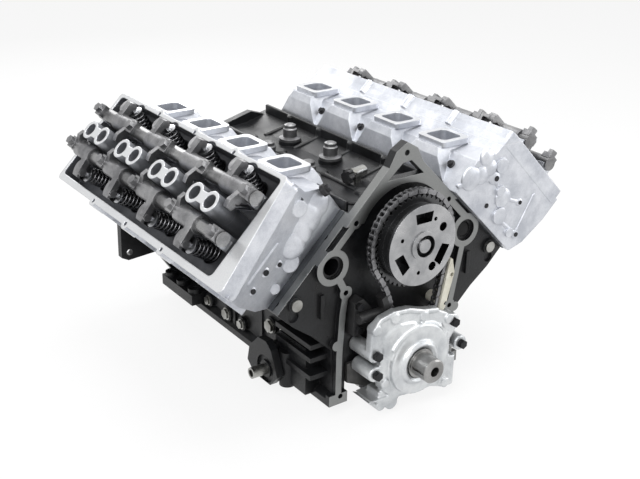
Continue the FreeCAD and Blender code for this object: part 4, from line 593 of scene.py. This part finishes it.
# %% Sixteen springs
# u and w give a valve's tip, lean is its angle from the bore in degrees, and sign
# says which way it leans
VALVES = {
    "intake": {"u": -64.0, "w": 379.0, "lean": 18.0, "sign": -1},
    "exhaust": {"u": 66.0, "w": 379.0, "lean": 16.5, "sign": 1},
}
TIP_TO_SPRING = 11.0
WIRE_EDGE = 80

for name, joint in joints.items():
    if not name.endswith("_rock"):
        continue
    side, kind, _, number, _ = name.split("_")
    valve = VALVES[kind]
    y = joint["pos_m"][1] / MM
    lean = math.radians(valve["lean"])
    rise_u, rise_w = valve["sign"] * math.sin(lean), math.cos(lean)
    reach = TIP_TO_SPRING + SPRING["Length"]
    seat = bank(side, valve["u"] - rise_u * reach, y, valve["w"] - rise_w * reach)
    axis = (bank(side, rise_u, 0, rise_w) / MM).normalized()
    mesh = spring_blank.copy()
    mesh.transform(Matrix.Translation(seat + axis * SPRING["Wire radius"] * MM)
                   @ axis.to_track_quat("Z", "Y").to_matrix().to_4x4())
    first = (side, kind, number) == ("left", "intake", "1")
    spring = piece(f"{side}_{kind}_spring_{number}", smooth(mesh, WIRE_EDGE), "engine",
                   "spring_steel", spring_wire, *(["valve_springs"] if first else []))
    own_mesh(spring)

# %% [markdown]
# ## Timing chain
# A roller chain is two kinds of link in turn: a wide pair of plates and a narrow
# pair, joined by rollers on pins. An Array and a Curve modifier would bend the
# links as they turn the corner, so each kind is modelled once instead, and a tree
# sets stiff copies along the chain's own line.

# %% Plates and rollers
CHAIN_PITCH = 9.525
PLATE_HALF_HEIGHT = 3.9
PLATE_THICK = 1.3
PLATE_WAIST = 0.8
END_STEPS = 8
PIN_SIDES = 12


def link_plates(bm, across, length):
    """Two plates with round ends and a waist, one to each side of the chain's middle."""
    outline = []
    half = length / 2
    for end in (1, -1):
        for step in range(END_STEPS + 1):
            angle = math.radians(-90 + 180 / END_STEPS * step) * end
            point = (end * half + PLATE_HALF_HEIGHT * math.cos(angle) * end,
                     PLATE_HALF_HEIGHT * math.sin(angle))
            outline.append(point)
        outline.append((0, end * PLATE_HALF_HEIGHT * PLATE_WAIST))
    for near, far in ((across, across + PLATE_THICK), (-across - PLATE_THICK, -across)):
        low = [bm.verts.new((x * MM, near * MM, z * MM)) for x, z in outline]
        high = [bm.verts.new((x * MM, far * MM, z * MM)) for x, z in outline]
        bm.faces.new(low)
        bm.faces.new(list(reversed(high)))
        for i, (a, b) in enumerate(zip(low, high)):
            j = (i + 1) % len(low)
            bm.faces.new((low[j], low[i], high[i], high[j]))


def pin_bar(bm, x, radius, half):
    """A roller or pin across the chain at x."""
    made = bmesh.ops.create_cone(bm, cap_ends=True, segments=PIN_SIDES, radius1=radius * MM,
                                 radius2=radius * MM, depth=2 * half * MM)["verts"]
    bmesh.ops.rotate(bm, verts=made, cent=(0, 0, 0), matrix=Matrix.Rotation(math.pi / 2, 3, "X"))
    bmesh.ops.translate(bm, verts=made, vec=(x * MM, 0, 0))


def mesh_of(bm, name):
    """A finished mesh from bmesh, with its faces outward."""
    bmesh.ops.recalc_face_normals(bm, faces=bm.faces)
    mesh = bpy.data.meshes.new(name)
    bm.to_mesh(mesh)
    bm.free()
    return mesh


def link_object(name, across, radius, half):
    """A finished link with a bar at each end, ready to be set along the chain."""
    bm = bmesh.new()
    link_plates(bm, across, CHAIN_PITCH)
    for x in (-CHAIN_PITCH / 2, CHAIN_PITCH / 2):
        pin_bar(bm, x, radius, half)
    return bpy.data.objects.new(name, smooth(mesh_of(bm, name)))


outer_link = link_object("outer_link", across=4.6, radius=1.6, half=6.3)
inner_link = link_object("inner_link", across=3.1, radius=2.6, half=3.2)

# %% The chain's line
CHAIN_PLANE = FRONT - 20
CAM_CENTRE = Vector((0, 190.4))
CAM_RADIUS, CRANK_RADIUS = 76.0, 38.0
BOW_CENTRE = Vector((-192.0, 51.6))


def arc(centre, radius, start, end, steps):
    """Points on a circle, by angle from straight up towards +x, in degrees."""
    angles = [math.radians(start + (end - start) * i / steps) for i in range(steps + 1)]
    return [(centre.x + radius * math.sin(a), centre.y + radius * math.cos(a)) for a in angles]


drop = math.degrees(math.asin((CAM_RADIUS - CRANK_RADIUS) / CAM_CENTRE.y))
to_bow = BOW_CENTRE - CAM_CENTRE
bow_angle = math.degrees(math.atan2(to_bow.x, to_bow.y))
crank_bow = math.degrees(math.atan2(BOW_CENTRE.x, BOW_CENTRE.y))
line = arc(CAM_CENTRE, CAM_RADIUS, bow_angle, 90 + drop, steps=60)
line += arc(Vector((0, 0)), CRANK_RADIUS, 90 + drop, 360 + crank_bow, steps=40)
line += arc(BOW_CENTRE, to_bow.length - CAM_RADIUS, 180 + crank_bow, 180 + bow_angle,
            steps=30)[1:-1]
length = sum(math.dist(a, b) for a, b in zip(line, line[1:] + line[:1]))
LINKS = 2 * round(length / CHAIN_PITCH / 2)
print("chain:", LINKS, "links over", round(length), "mm")
path = bpy.data.meshes.new("chain_line")
path.from_pydata([(x * MM, CHAIN_PLANE * MM, z * MM) for x, z in line],
                 [(i, (i + 1) % len(line)) for i in range(len(line))], [])

# %% The chain tree
chain_tree, given, result = new_tree("links_along_a_line", {
    "Links": "Int", "Outer link": "Object", "Inner link": "Object", "Metal": "Material"})
curve = add(chain_tree, "GeometryNodeMeshToCurve", {0: given.outputs["Geometry"]})
spaced = add(chain_tree, "GeometryNodeResampleCurve", {"Curve": curve.outputs[0],
           "Count": given.outputs["Links"]})
tangent = add(chain_tree, "GeometryNodeInputTangent")
aim = add(chain_tree, "FunctionNodeAxesToRotation", {"Primary Axis": tangent.outputs[0],
          "Secondary Axis": (0, 1, 0)}, primary_axis="X", secondary_axis="Y")
index = add(chain_tree, "GeometryNodeInputIndex")
odd_link = add(chain_tree, "FunctionNodeIntegerMath", {0: index.outputs[0], 1: 2}, operation="MODULO")
even_link = add(chain_tree, "FunctionNodeBooleanMath", {0: odd_link.outputs[0]}, operation="NOT")
links = []
for source, chosen in (("Outer link", odd_link.outputs[0]), ("Inner link", even_link.outputs[0])):
    shape = add(chain_tree, "GeometryNodeObjectInfo", {"Object": given.outputs[source]})
    placed = add(chain_tree, "GeometryNodeInstanceOnPoints", {
        "Points": spaced.outputs[0], "Selection": chosen, "Instance": shape.outputs["Geometry"],
        "Rotation": aim.outputs[0]})
    links.append(placed.outputs[0])
together = add(chain_tree, "GeometryNodeJoinGeometry", {0: links[0]})
chain_tree.links.new(links[1], together.inputs[0])
end_tree(chain_tree, together.outputs[0], given, result)

chain = grow(chain_tree, {"Links": LINKS, "Outer link": outer_link, "Inner link": inner_link,
                          "Metal": chain_steel}, path)
piece("timing_chain_links", smooth(chain), "engine", "dark_steel", chain_steel, "timing_chain")

# %% [markdown]
# ## Castings with soft edges
# Molten metal leaves no sharp corner. Each edge could be bevelled, but bevels fail
# where many shapes run into each other. A casting is therefore built from plain
# bars and wrapped in an even skin that melts them together and rounds every edge.

# %% Bars, plates and domes
def bar(bm, start, end, radius, segments=24, end_radius=None):
    """A round bar between two points in millimetres, or a cone when the far end differs."""
    start, end = Vector(start), Vector(end)
    axis = end - start
    made = bmesh.ops.create_cone(bm, cap_ends=True, segments=segments, radius1=radius * MM,
                                 radius2=(end_radius or radius) * MM, depth=axis.length * MM)
    turn = axis.to_track_quat("Z", "Y").to_matrix().to_4x4()
    place = Matrix.Translation((start + end) / 2 * MM) @ turn
    bmesh.ops.transform(bm, verts=made["verts"], matrix=place)


def slab(bm, low, high):
    """A plate between two opposite corners in millimetres."""
    low, high = Vector(low) * MM, Vector(high) * MM
    middle, extent = (low + high) / 2, high - low
    place = Matrix.Translation(middle) @ Matrix.Diagonal((*extent, 1))
    bmesh.ops.create_cube(bm, size=1, matrix=place)


def dome(bm, centre, radius, proud):
    """A flattened ball that stands proud of a front wall by a few millimetres."""
    place = Matrix.Translation(Vector(centre) * MM)
    place @= Matrix.Diagonal((radius * MM, proud * MM, radius * MM, 1))
    bmesh.ops.create_icosphere(bm, subdivisions=3, radius=1, matrix=place)


# %% The casting's skin
def cast_skin(mesh, grain_mm, passes):
    """Melts overlapping closed shapes into one skin and rounds it."""
    holder = bpy.data.objects.new("casting", mesh)
    bpy.context.scene.collection.objects.link(holder)
    wrap = holder.modifiers.new("wrap", "REMESH")
    wrap.mode = "VOXEL"
    wrap.voxel_size = grain_mm * MM
    soften = holder.modifiers.new("soften", "SMOOTH")
    soften.iterations = passes
    skin = evaluated(holder)
    skin.shade_smooth()
    return skin


# %% [markdown]
# ## The oil pump
# The pump's housing is a die casting round the crank's nose, with a rim, lugs for
# its screws and two round feet. It could be modelled from nothing, but bars
# melted onto a copy of the solid leave its bores where they are.

# %% What is added to the pump's housing
PUMP_FACE = FRONT - 52
SQUARE_FOOT = ((-45, -48), (-26, -59))
PUMP_LUGS = ((-80, 74), (-46, 84), (10, 72), (62, 54), (-60, -22), (62, -60))
LUG_RADIUS = 8
ROUND_FEET = ((-62, -61, 9), (-42, -62, 12))
FOOT_FRONT, FOOT_BACK = FRONT - 43, FRONT - 6
FOOT_WEBS = (((-66, -62), (-36, -38)), ((-62, -68), (-42, -60)))
WEB_FRONT, WEB_BACK = FRONT - 40, FOOT_BACK - 4
SAME_POINT = 1e-6


def bead(bm, radius, y, start, step, count, thick, segments):
    """Short bars end to end along a circle round the crank, by degrees from straight up."""
    for i in range(count):
        angles = [math.radians(start + step * (i + end)) for end in (0, 1)]
        ends = [(radius * math.sin(a), y, radius * math.cos(a)) for a in angles]
        bar(bm, *ends, thick, segments)


# %% The pump's housing
pump = bmesh.new()
pump.from_mesh(nodes["oil_pump_housing"].data)
bmesh.ops.remove_doubles(pump, verts=pump.verts, dist=SAME_POINT)
# the housing's square foot is drawn in, to make room for round ones
for edge_x, lowest in SQUARE_FOOT:
    for vert in pump.verts:
        if vert.co.x < edge_x * MM and vert.co.z < lowest * MM:
            vert.co.z = lowest * MM
bead(pump, radius=58, y=PUMP_FACE + 4, start=-58, step=9.5, count=14, thick=4.5, segments=12)
for x, z in PUMP_LUGS:
    bar(pump, (x, PUMP_FACE + 3, z), (x, PUMP_FACE + 21, z), LUG_RADIUS)
bead(pump, radius=31, y=PUMP_FACE - 4.5, start=0, step=15, count=24, thick=3, segments=10)
for x, z, radius in ROUND_FEET:
    bar(pump, (x, FOOT_FRONT, z), (x, FOOT_BACK, z), radius)
for (low_x, low_z), (high_x, high_z) in FOOT_WEBS:
    slab(pump, (low_x, WEB_FRONT, low_z), (high_x, WEB_BACK, high_z))
pump_skin = cast_skin(mesh_of(pump, "pump_casting"), grain_mm=1.5, passes=4)
piece("oil_pump_casting", pump_skin, "engine", "cast_aluminium", pump_aluminium, "oil_pump_housing")

# %% [markdown]
# ## Bosses on the front walls of the heads
# Oil and water passages swell the front wall of each head into soft domes, with
# thin ribs between them. Black discs in a few of them stand in for the dark of open
# holes: painted shade. Sculpting would be quicker by eye, but a list of domes and
# ribs keeps every one at a known place on the leaning wall.

# %% Where the front walls are
# Y at the deck, Y at the cover rail, and how far the wall also slants across its
# width, all in millimetres
HEAD_FRONTS = {"left": (FRONT - 10, FRONT - 13, 0), "right": (FRONT + 33, FRONT + 5, 31.5)}
WALL_FOOT, WALL_HEIGHT = 236, 119
WALL_INNER, WALL_WIDTH = -83, 179


def wall_y(side, u, w):
    """Where the leaning front wall of a head is, for a place on it."""
    deck_y, rail_y, slant = HEAD_FRONTS[side]
    lean = (w - WALL_FOOT) / WALL_HEIGHT
    return deck_y + (rail_y - deck_y) * lean - slant * lean * (u - WALL_INNER) / WALL_WIDTH


def on_wall(side, u, w, proud):
    """A point that stands proud of a head's front wall, in millimetres of the row frame."""
    return bank(side, u, wall_y(side, u, w) - proud, w) / MM


# %% Domes, ribs and black discs of painted hole shade
# domes are (u, w, radius, proud), ribs are (start, end, radius), and the black discs
# of painted hole shade are (u, w, radius, proud), all in millimetres
RELIEF = {
    "left": {"domes": [(-98, 309, 14, 7), (-78, 303, 13, 6), (-58, 297, 12, 6), (-15, 286, 17, 5),
                       (22, 302, 7, 3), (60, 262, 8, 3), (-98, 268, 20, 6), (-84, 284, 16, 5)],
             "ribs": [((-108, 246), (-66, 287), 4), ((-58, 297), (-15, 286), 4),
                      ((-15, 286), (22, 302), 4), ((10, 258), (60, 262), 4), ((40, 330), (60, 262), 3)],
             "plugs": [(-58, 297, 4.5, 6), (22, 302, 3.5, 3.2), (60, 262, 4, 3.2),
                       (-34, 258, 4, 0.4)]},
    "right": {"domes": [(-84, 288, 22, 7), (-62, 288, 24, 8), (-40, 285, 22, 8), (-19, 282, 22, 9),
                        (35, 303, 8, 2.5), (66, 305, 7, 2.5), (14, 284, 7, 2.5)],
              "ribs": [((-5, 316), (62, 326), 3.5)],
              "plugs": [(14, 284, 3.5, 2.9), (35, 303, 4.5, 2.9), (66, 305, 4, 2.9)]},
}
RIB_PROUD = 2
RIB_END = 0.8

for side, forms in RELIEF.items():
    relief = bmesh.new()
    for u, w, radius, proud in forms["domes"]:
        dome(relief, on_wall(side, u, w, 0), radius, proud)
    for rib_start, rib_end, radius in forms["ribs"]:
        level = RIB_PROUD - radius
        bar(relief, on_wall(side, *rib_start, level), on_wall(side, *rib_end, level), radius, 16)
        for u, w in (rib_start, rib_end):
            bar(relief, on_wall(side, u, w, level - radius),
                on_wall(side, u, w, level + radius * RIB_END), radius * RIB_END, 12)
    skin = cast_skin(mesh_of(relief, side + "_relief"), grain_mm=1.1, passes=5)
    piece(side + "_head_front_relief", skin, "engine", "cast_aluminium", cast_aluminium)

# %% [markdown]
# ## Screws and plugs
# The screws are all alike: a hexagon on a round flange. One is modelled, and a
# tree sets it on every point that has a direction and a size. The same tree sets
# thin black discs on the head fronts, where they stand in for the dark of open holes:
# painted shade. Copies placed by hand would look the same, but a list of points is
# easier to change.

# %% The screw and the black disc of painted hole shade
# the screw is a stack of (bottom, top, radius, radius at the top, sides): a flange
# and its bevel, then a hexagon and its bevel
ROUND_SIDES = 28
SCREW_STACK = ((-4, 1.6, 8.2, 8.2, ROUND_SIDES), (1.6, 2.6, 8.2, 6.4, ROUND_SIDES),
               (2, 7.2, 5.9, 5.9, 6), (7.2, 8.0, 5.9, 5.0, 6))
HOLE_DISC_RADIUS = 10
HOLE_DISC_ENDS = (-3, 0.6)

screw = bmesh.new()
for bottom, top, radius, top_radius, sides in SCREW_STACK:
    bar(screw, (0, 0, bottom), (0, 0, top), radius, sides, top_radius)
screw_mesh = smooth(mesh_of(screw, "flange_screw"), CRISP_EDGE)
screw_shape = bpy.data.objects.new("flange_screw", screw_mesh)
# a thin black disc that stands in for the dark of an open hole: painted shade
plug = bmesh.new()
bar(plug, (0, 0, HOLE_DISC_ENDS[0]), (0, 0, HOLE_DISC_ENDS[1]), HOLE_DISC_RADIUS, ROUND_SIDES)
hole_disc_mesh = smooth(mesh_of(plug, "flush_plug"), CRISP_EDGE)
hole_disc_shape = bpy.data.objects.new("flush_plug", hole_disc_mesh)
print("screw:", len(screw_mesh.polygons), "faces, plug:", len(hole_disc_mesh.polygons), "faces")

# %% The screw tree
screw_tree, given, result = new_tree("screws_on_points", {"Screw": "Object", "Metal": "Material"})
shape = add(screw_tree, "GeometryNodeObjectInfo", {"Object": given.outputs["Screw"]})
aim = add(screw_tree, "GeometryNodeInputNamedAttribute", {"Name": "aim"}, data_type="FLOAT_VECTOR")
scale = add(screw_tree, "GeometryNodeInputNamedAttribute", {"Name": "scale"}, data_type="FLOAT")
turned = add(screw_tree, "FunctionNodeAlignRotationToVector", {"Vector": aim.outputs[0]}, axis="Z")
set_on = add(screw_tree, "GeometryNodeInstanceOnPoints", {
    "Points": given.outputs["Geometry"], "Instance": shape.outputs["Geometry"],
    "Rotation": turned.outputs[0], "Scale": scale.outputs[0]})
end_tree(screw_tree, set_on.outputs[0], given, result)


def screws(name, places, shape, slot, finish):
    """Sets a screw on each (point in mm, direction, size)."""
    points = bpy.data.meshes.new(name)
    points.from_pydata([Vector(at) * MM for at, _, _ in places], [], [])
    points.attributes.new("aim", "FLOAT_VECTOR", "POINT")
    points.attributes.new("scale", "FLOAT", "POINT")
    # a second attribute moves the first in memory, so each is looked up as it is written
    for i, (_, direction, share) in enumerate(places):
        points.attributes["aim"].data[i].vector = Vector(direction).normalized()
        points.attributes["scale"].data[i].value = share
    mesh = grow(screw_tree, {"Screw": shape, "Metal": finish}, points)
    return piece(name, smooth(mesh, CRISP_EDGE), "engine", slot, finish)


# %% Where the screws are
FIRST_BORE_Y = {"left": FRONT + 58.3, "right": FRONT + 83.55}
BORE_PITCH = 113.28
AHEAD_OF_BORE = 27
SCALLOP_X, SCALLOP_Z = 117.6, 270
SCALLOP_AIM = (0.75, 0.66)
SCALLOP_SIZE = 0.8
CORNER_SCREW = ((-135, FRONT + 13, 286), (0.55, -0.62, 0.56), 1.1)

scallops = []
plugs = []
for side, first in FIRST_BORE_Y.items():
    for i in range(4):
        y = first - AHEAD_OF_BORE + i * BORE_PITCH
        inward = (-SIDES[side] * SCALLOP_AIM[0], 0, SCALLOP_AIM[1])
        scallops.append(((SIDES[side] * SCALLOP_X, y, SCALLOP_Z), inward, SCALLOP_SIZE))
    for u, w, radius, proud in RELIEF[side]["plugs"]:
        plugs.append((on_wall(side, u, w, proud), (0, -1, 0), radius / HOLE_DISC_RADIUS))
scallops.append(CORNER_SCREW)
screws("scallop_screws", scallops, screw_shape, "black_steel", black_oxide)
# black discs on the head fronts: painted shade where holes would look dark
screws("head_front_plugs", plugs, hole_disc_shape, "black_steel", black_oxide)

# %% [markdown]
# ## The valley between the banks
# The block's own walls rise beside the heads, with ribs and bosses on the floor
# between them. They are part of one black casting, so they are melted together
# like the other castings and painted like the block.

# %% Valley walls, ribs and bosses
# x is the distance from the middle, z the height, and Y runs back from the front
WALL_SIDES = (84.5, 90.5)
WALL_LEVELS = (228, 255)
WALL_FRONT, WALL_REAR = FRONT + 24, REAR - 12
RIBS, RIB_FIRST, RIB_SPACING = 5, 64, 90
WALL_RIB_X, WALL_RIB_LEVELS, WALL_RIB_RADIUS = 85, (226, 253), 6
FLOOR_LEVEL = 224
FLOOR_RIB_TOP, FLOOR_RIB_END, FLOOR_RIB_RADIUS = (84, 236), (30, FLOOR_LEVEL), 5
SPINE_INSET, SPINE_RADIUS = 20, 6
BOSSES = (100, 210, 330, 420)
BOSS_RADIUS, BOSS_TOP_RADIUS = 15, 11
BOSS_SINK, BOSS_RISE = 2, 7

valley = bmesh.new()
for side in (1, -1):
    near, far = sorted(edge * side for edge in WALL_SIDES)
    slab(valley, (near, WALL_FRONT, WALL_LEVELS[0]), (far, WALL_REAR, WALL_LEVELS[1]))
    for i in range(RIBS):
        y = FRONT + RIB_FIRST + i * RIB_SPACING
        foot, head = [(side * WALL_RIB_X, y, z) for z in WALL_RIB_LEVELS]
        bar(valley, foot, head, WALL_RIB_RADIUS, 16)
        high, low = [(side * x, y, z) for x, z in (FLOOR_RIB_TOP, FLOOR_RIB_END)]
        bar(valley, high, low, FLOOR_RIB_RADIUS, 12)
bar(valley, (0, FRONT + SPINE_INSET, FLOOR_LEVEL), (0, REAR - SPINE_INSET, FLOOR_LEVEL),
    SPINE_RADIUS, 16)
for back in BOSSES:
    bar(valley, (0, FRONT + back, FLOOR_LEVEL - BOSS_SINK),
        (0, FRONT + back, FLOOR_LEVEL + BOSS_RISE), BOSS_RADIUS, 24, BOSS_TOP_RADIUS)
valley_skin = cast_skin(mesh_of(valley, "valley_forms"), grain_mm=1.8, passes=3)
piece("valley_casting", valley_skin, "engine", "block_iron", black_casting)

# %% [markdown]
# ## The pressure sender
# A small plated sender lies across the valley on a stem, with a lobed plastic cap
# on its end. They could be turned from an outline with Screw, but both are round
# bars of one width each, so plain bars are all they need.

# %% Sender and cap
SENDER_Y = FRONT + 140
SENDER_Z = 241
SENDER_START, SENDER_END = (8, SENDER_Y, SENDER_Z), (38, SENDER_Y + 8, SENDER_Z)
SENDER_RADIUS = 9
HEXAGON_END, HEXAGON_RADIUS = (11, SENDER_Y + 1, SENDER_Z), 11
STEM_FOOT, STEM_TOP, STEM_RADIUS = (23, SENDER_Y + 4, 222), (23, SENDER_Y + 4, 240), 6
CAP_END, CAP_RADIUS = (-6, SENDER_Y - 4, SENDER_Z), 8.5
LOBES = 6
LOBE_RING = 9
LOBE_RADIUS = 3.2

sender = bmesh.new()
bar(sender, SENDER_START, SENDER_END, SENDER_RADIUS, ROUND_SIDES)
bar(sender, SENDER_START, HEXAGON_END, HEXAGON_RADIUS, 6)
bar(sender, STEM_FOOT, STEM_TOP, STEM_RADIUS, 20)
sender_mesh = smooth(mesh_of(sender, "sender"), CRISP_EDGE)
piece("pressure_sender", sender_mesh, "engine", "plated_steel", zinc_plate)
cap = bmesh.new()
bar(cap, CAP_END, SENDER_START, CAP_RADIUS)
for i in range(LOBES):
    a = 2 * math.pi * i / LOBES
    y, z = SENDER_Y + LOBE_RING * math.cos(a), SENDER_Z + LOBE_RING * math.sin(a)
    bar(cap, (-5, y - 4, z), (6, y, z), LOBE_RADIUS, 14)
cap_mesh = smooth(mesh_of(cap, "sender_cap"), CRISP_EDGE)
piece("sender_cap", cap_mesh, "engine", "black_plastic", black_nylon)
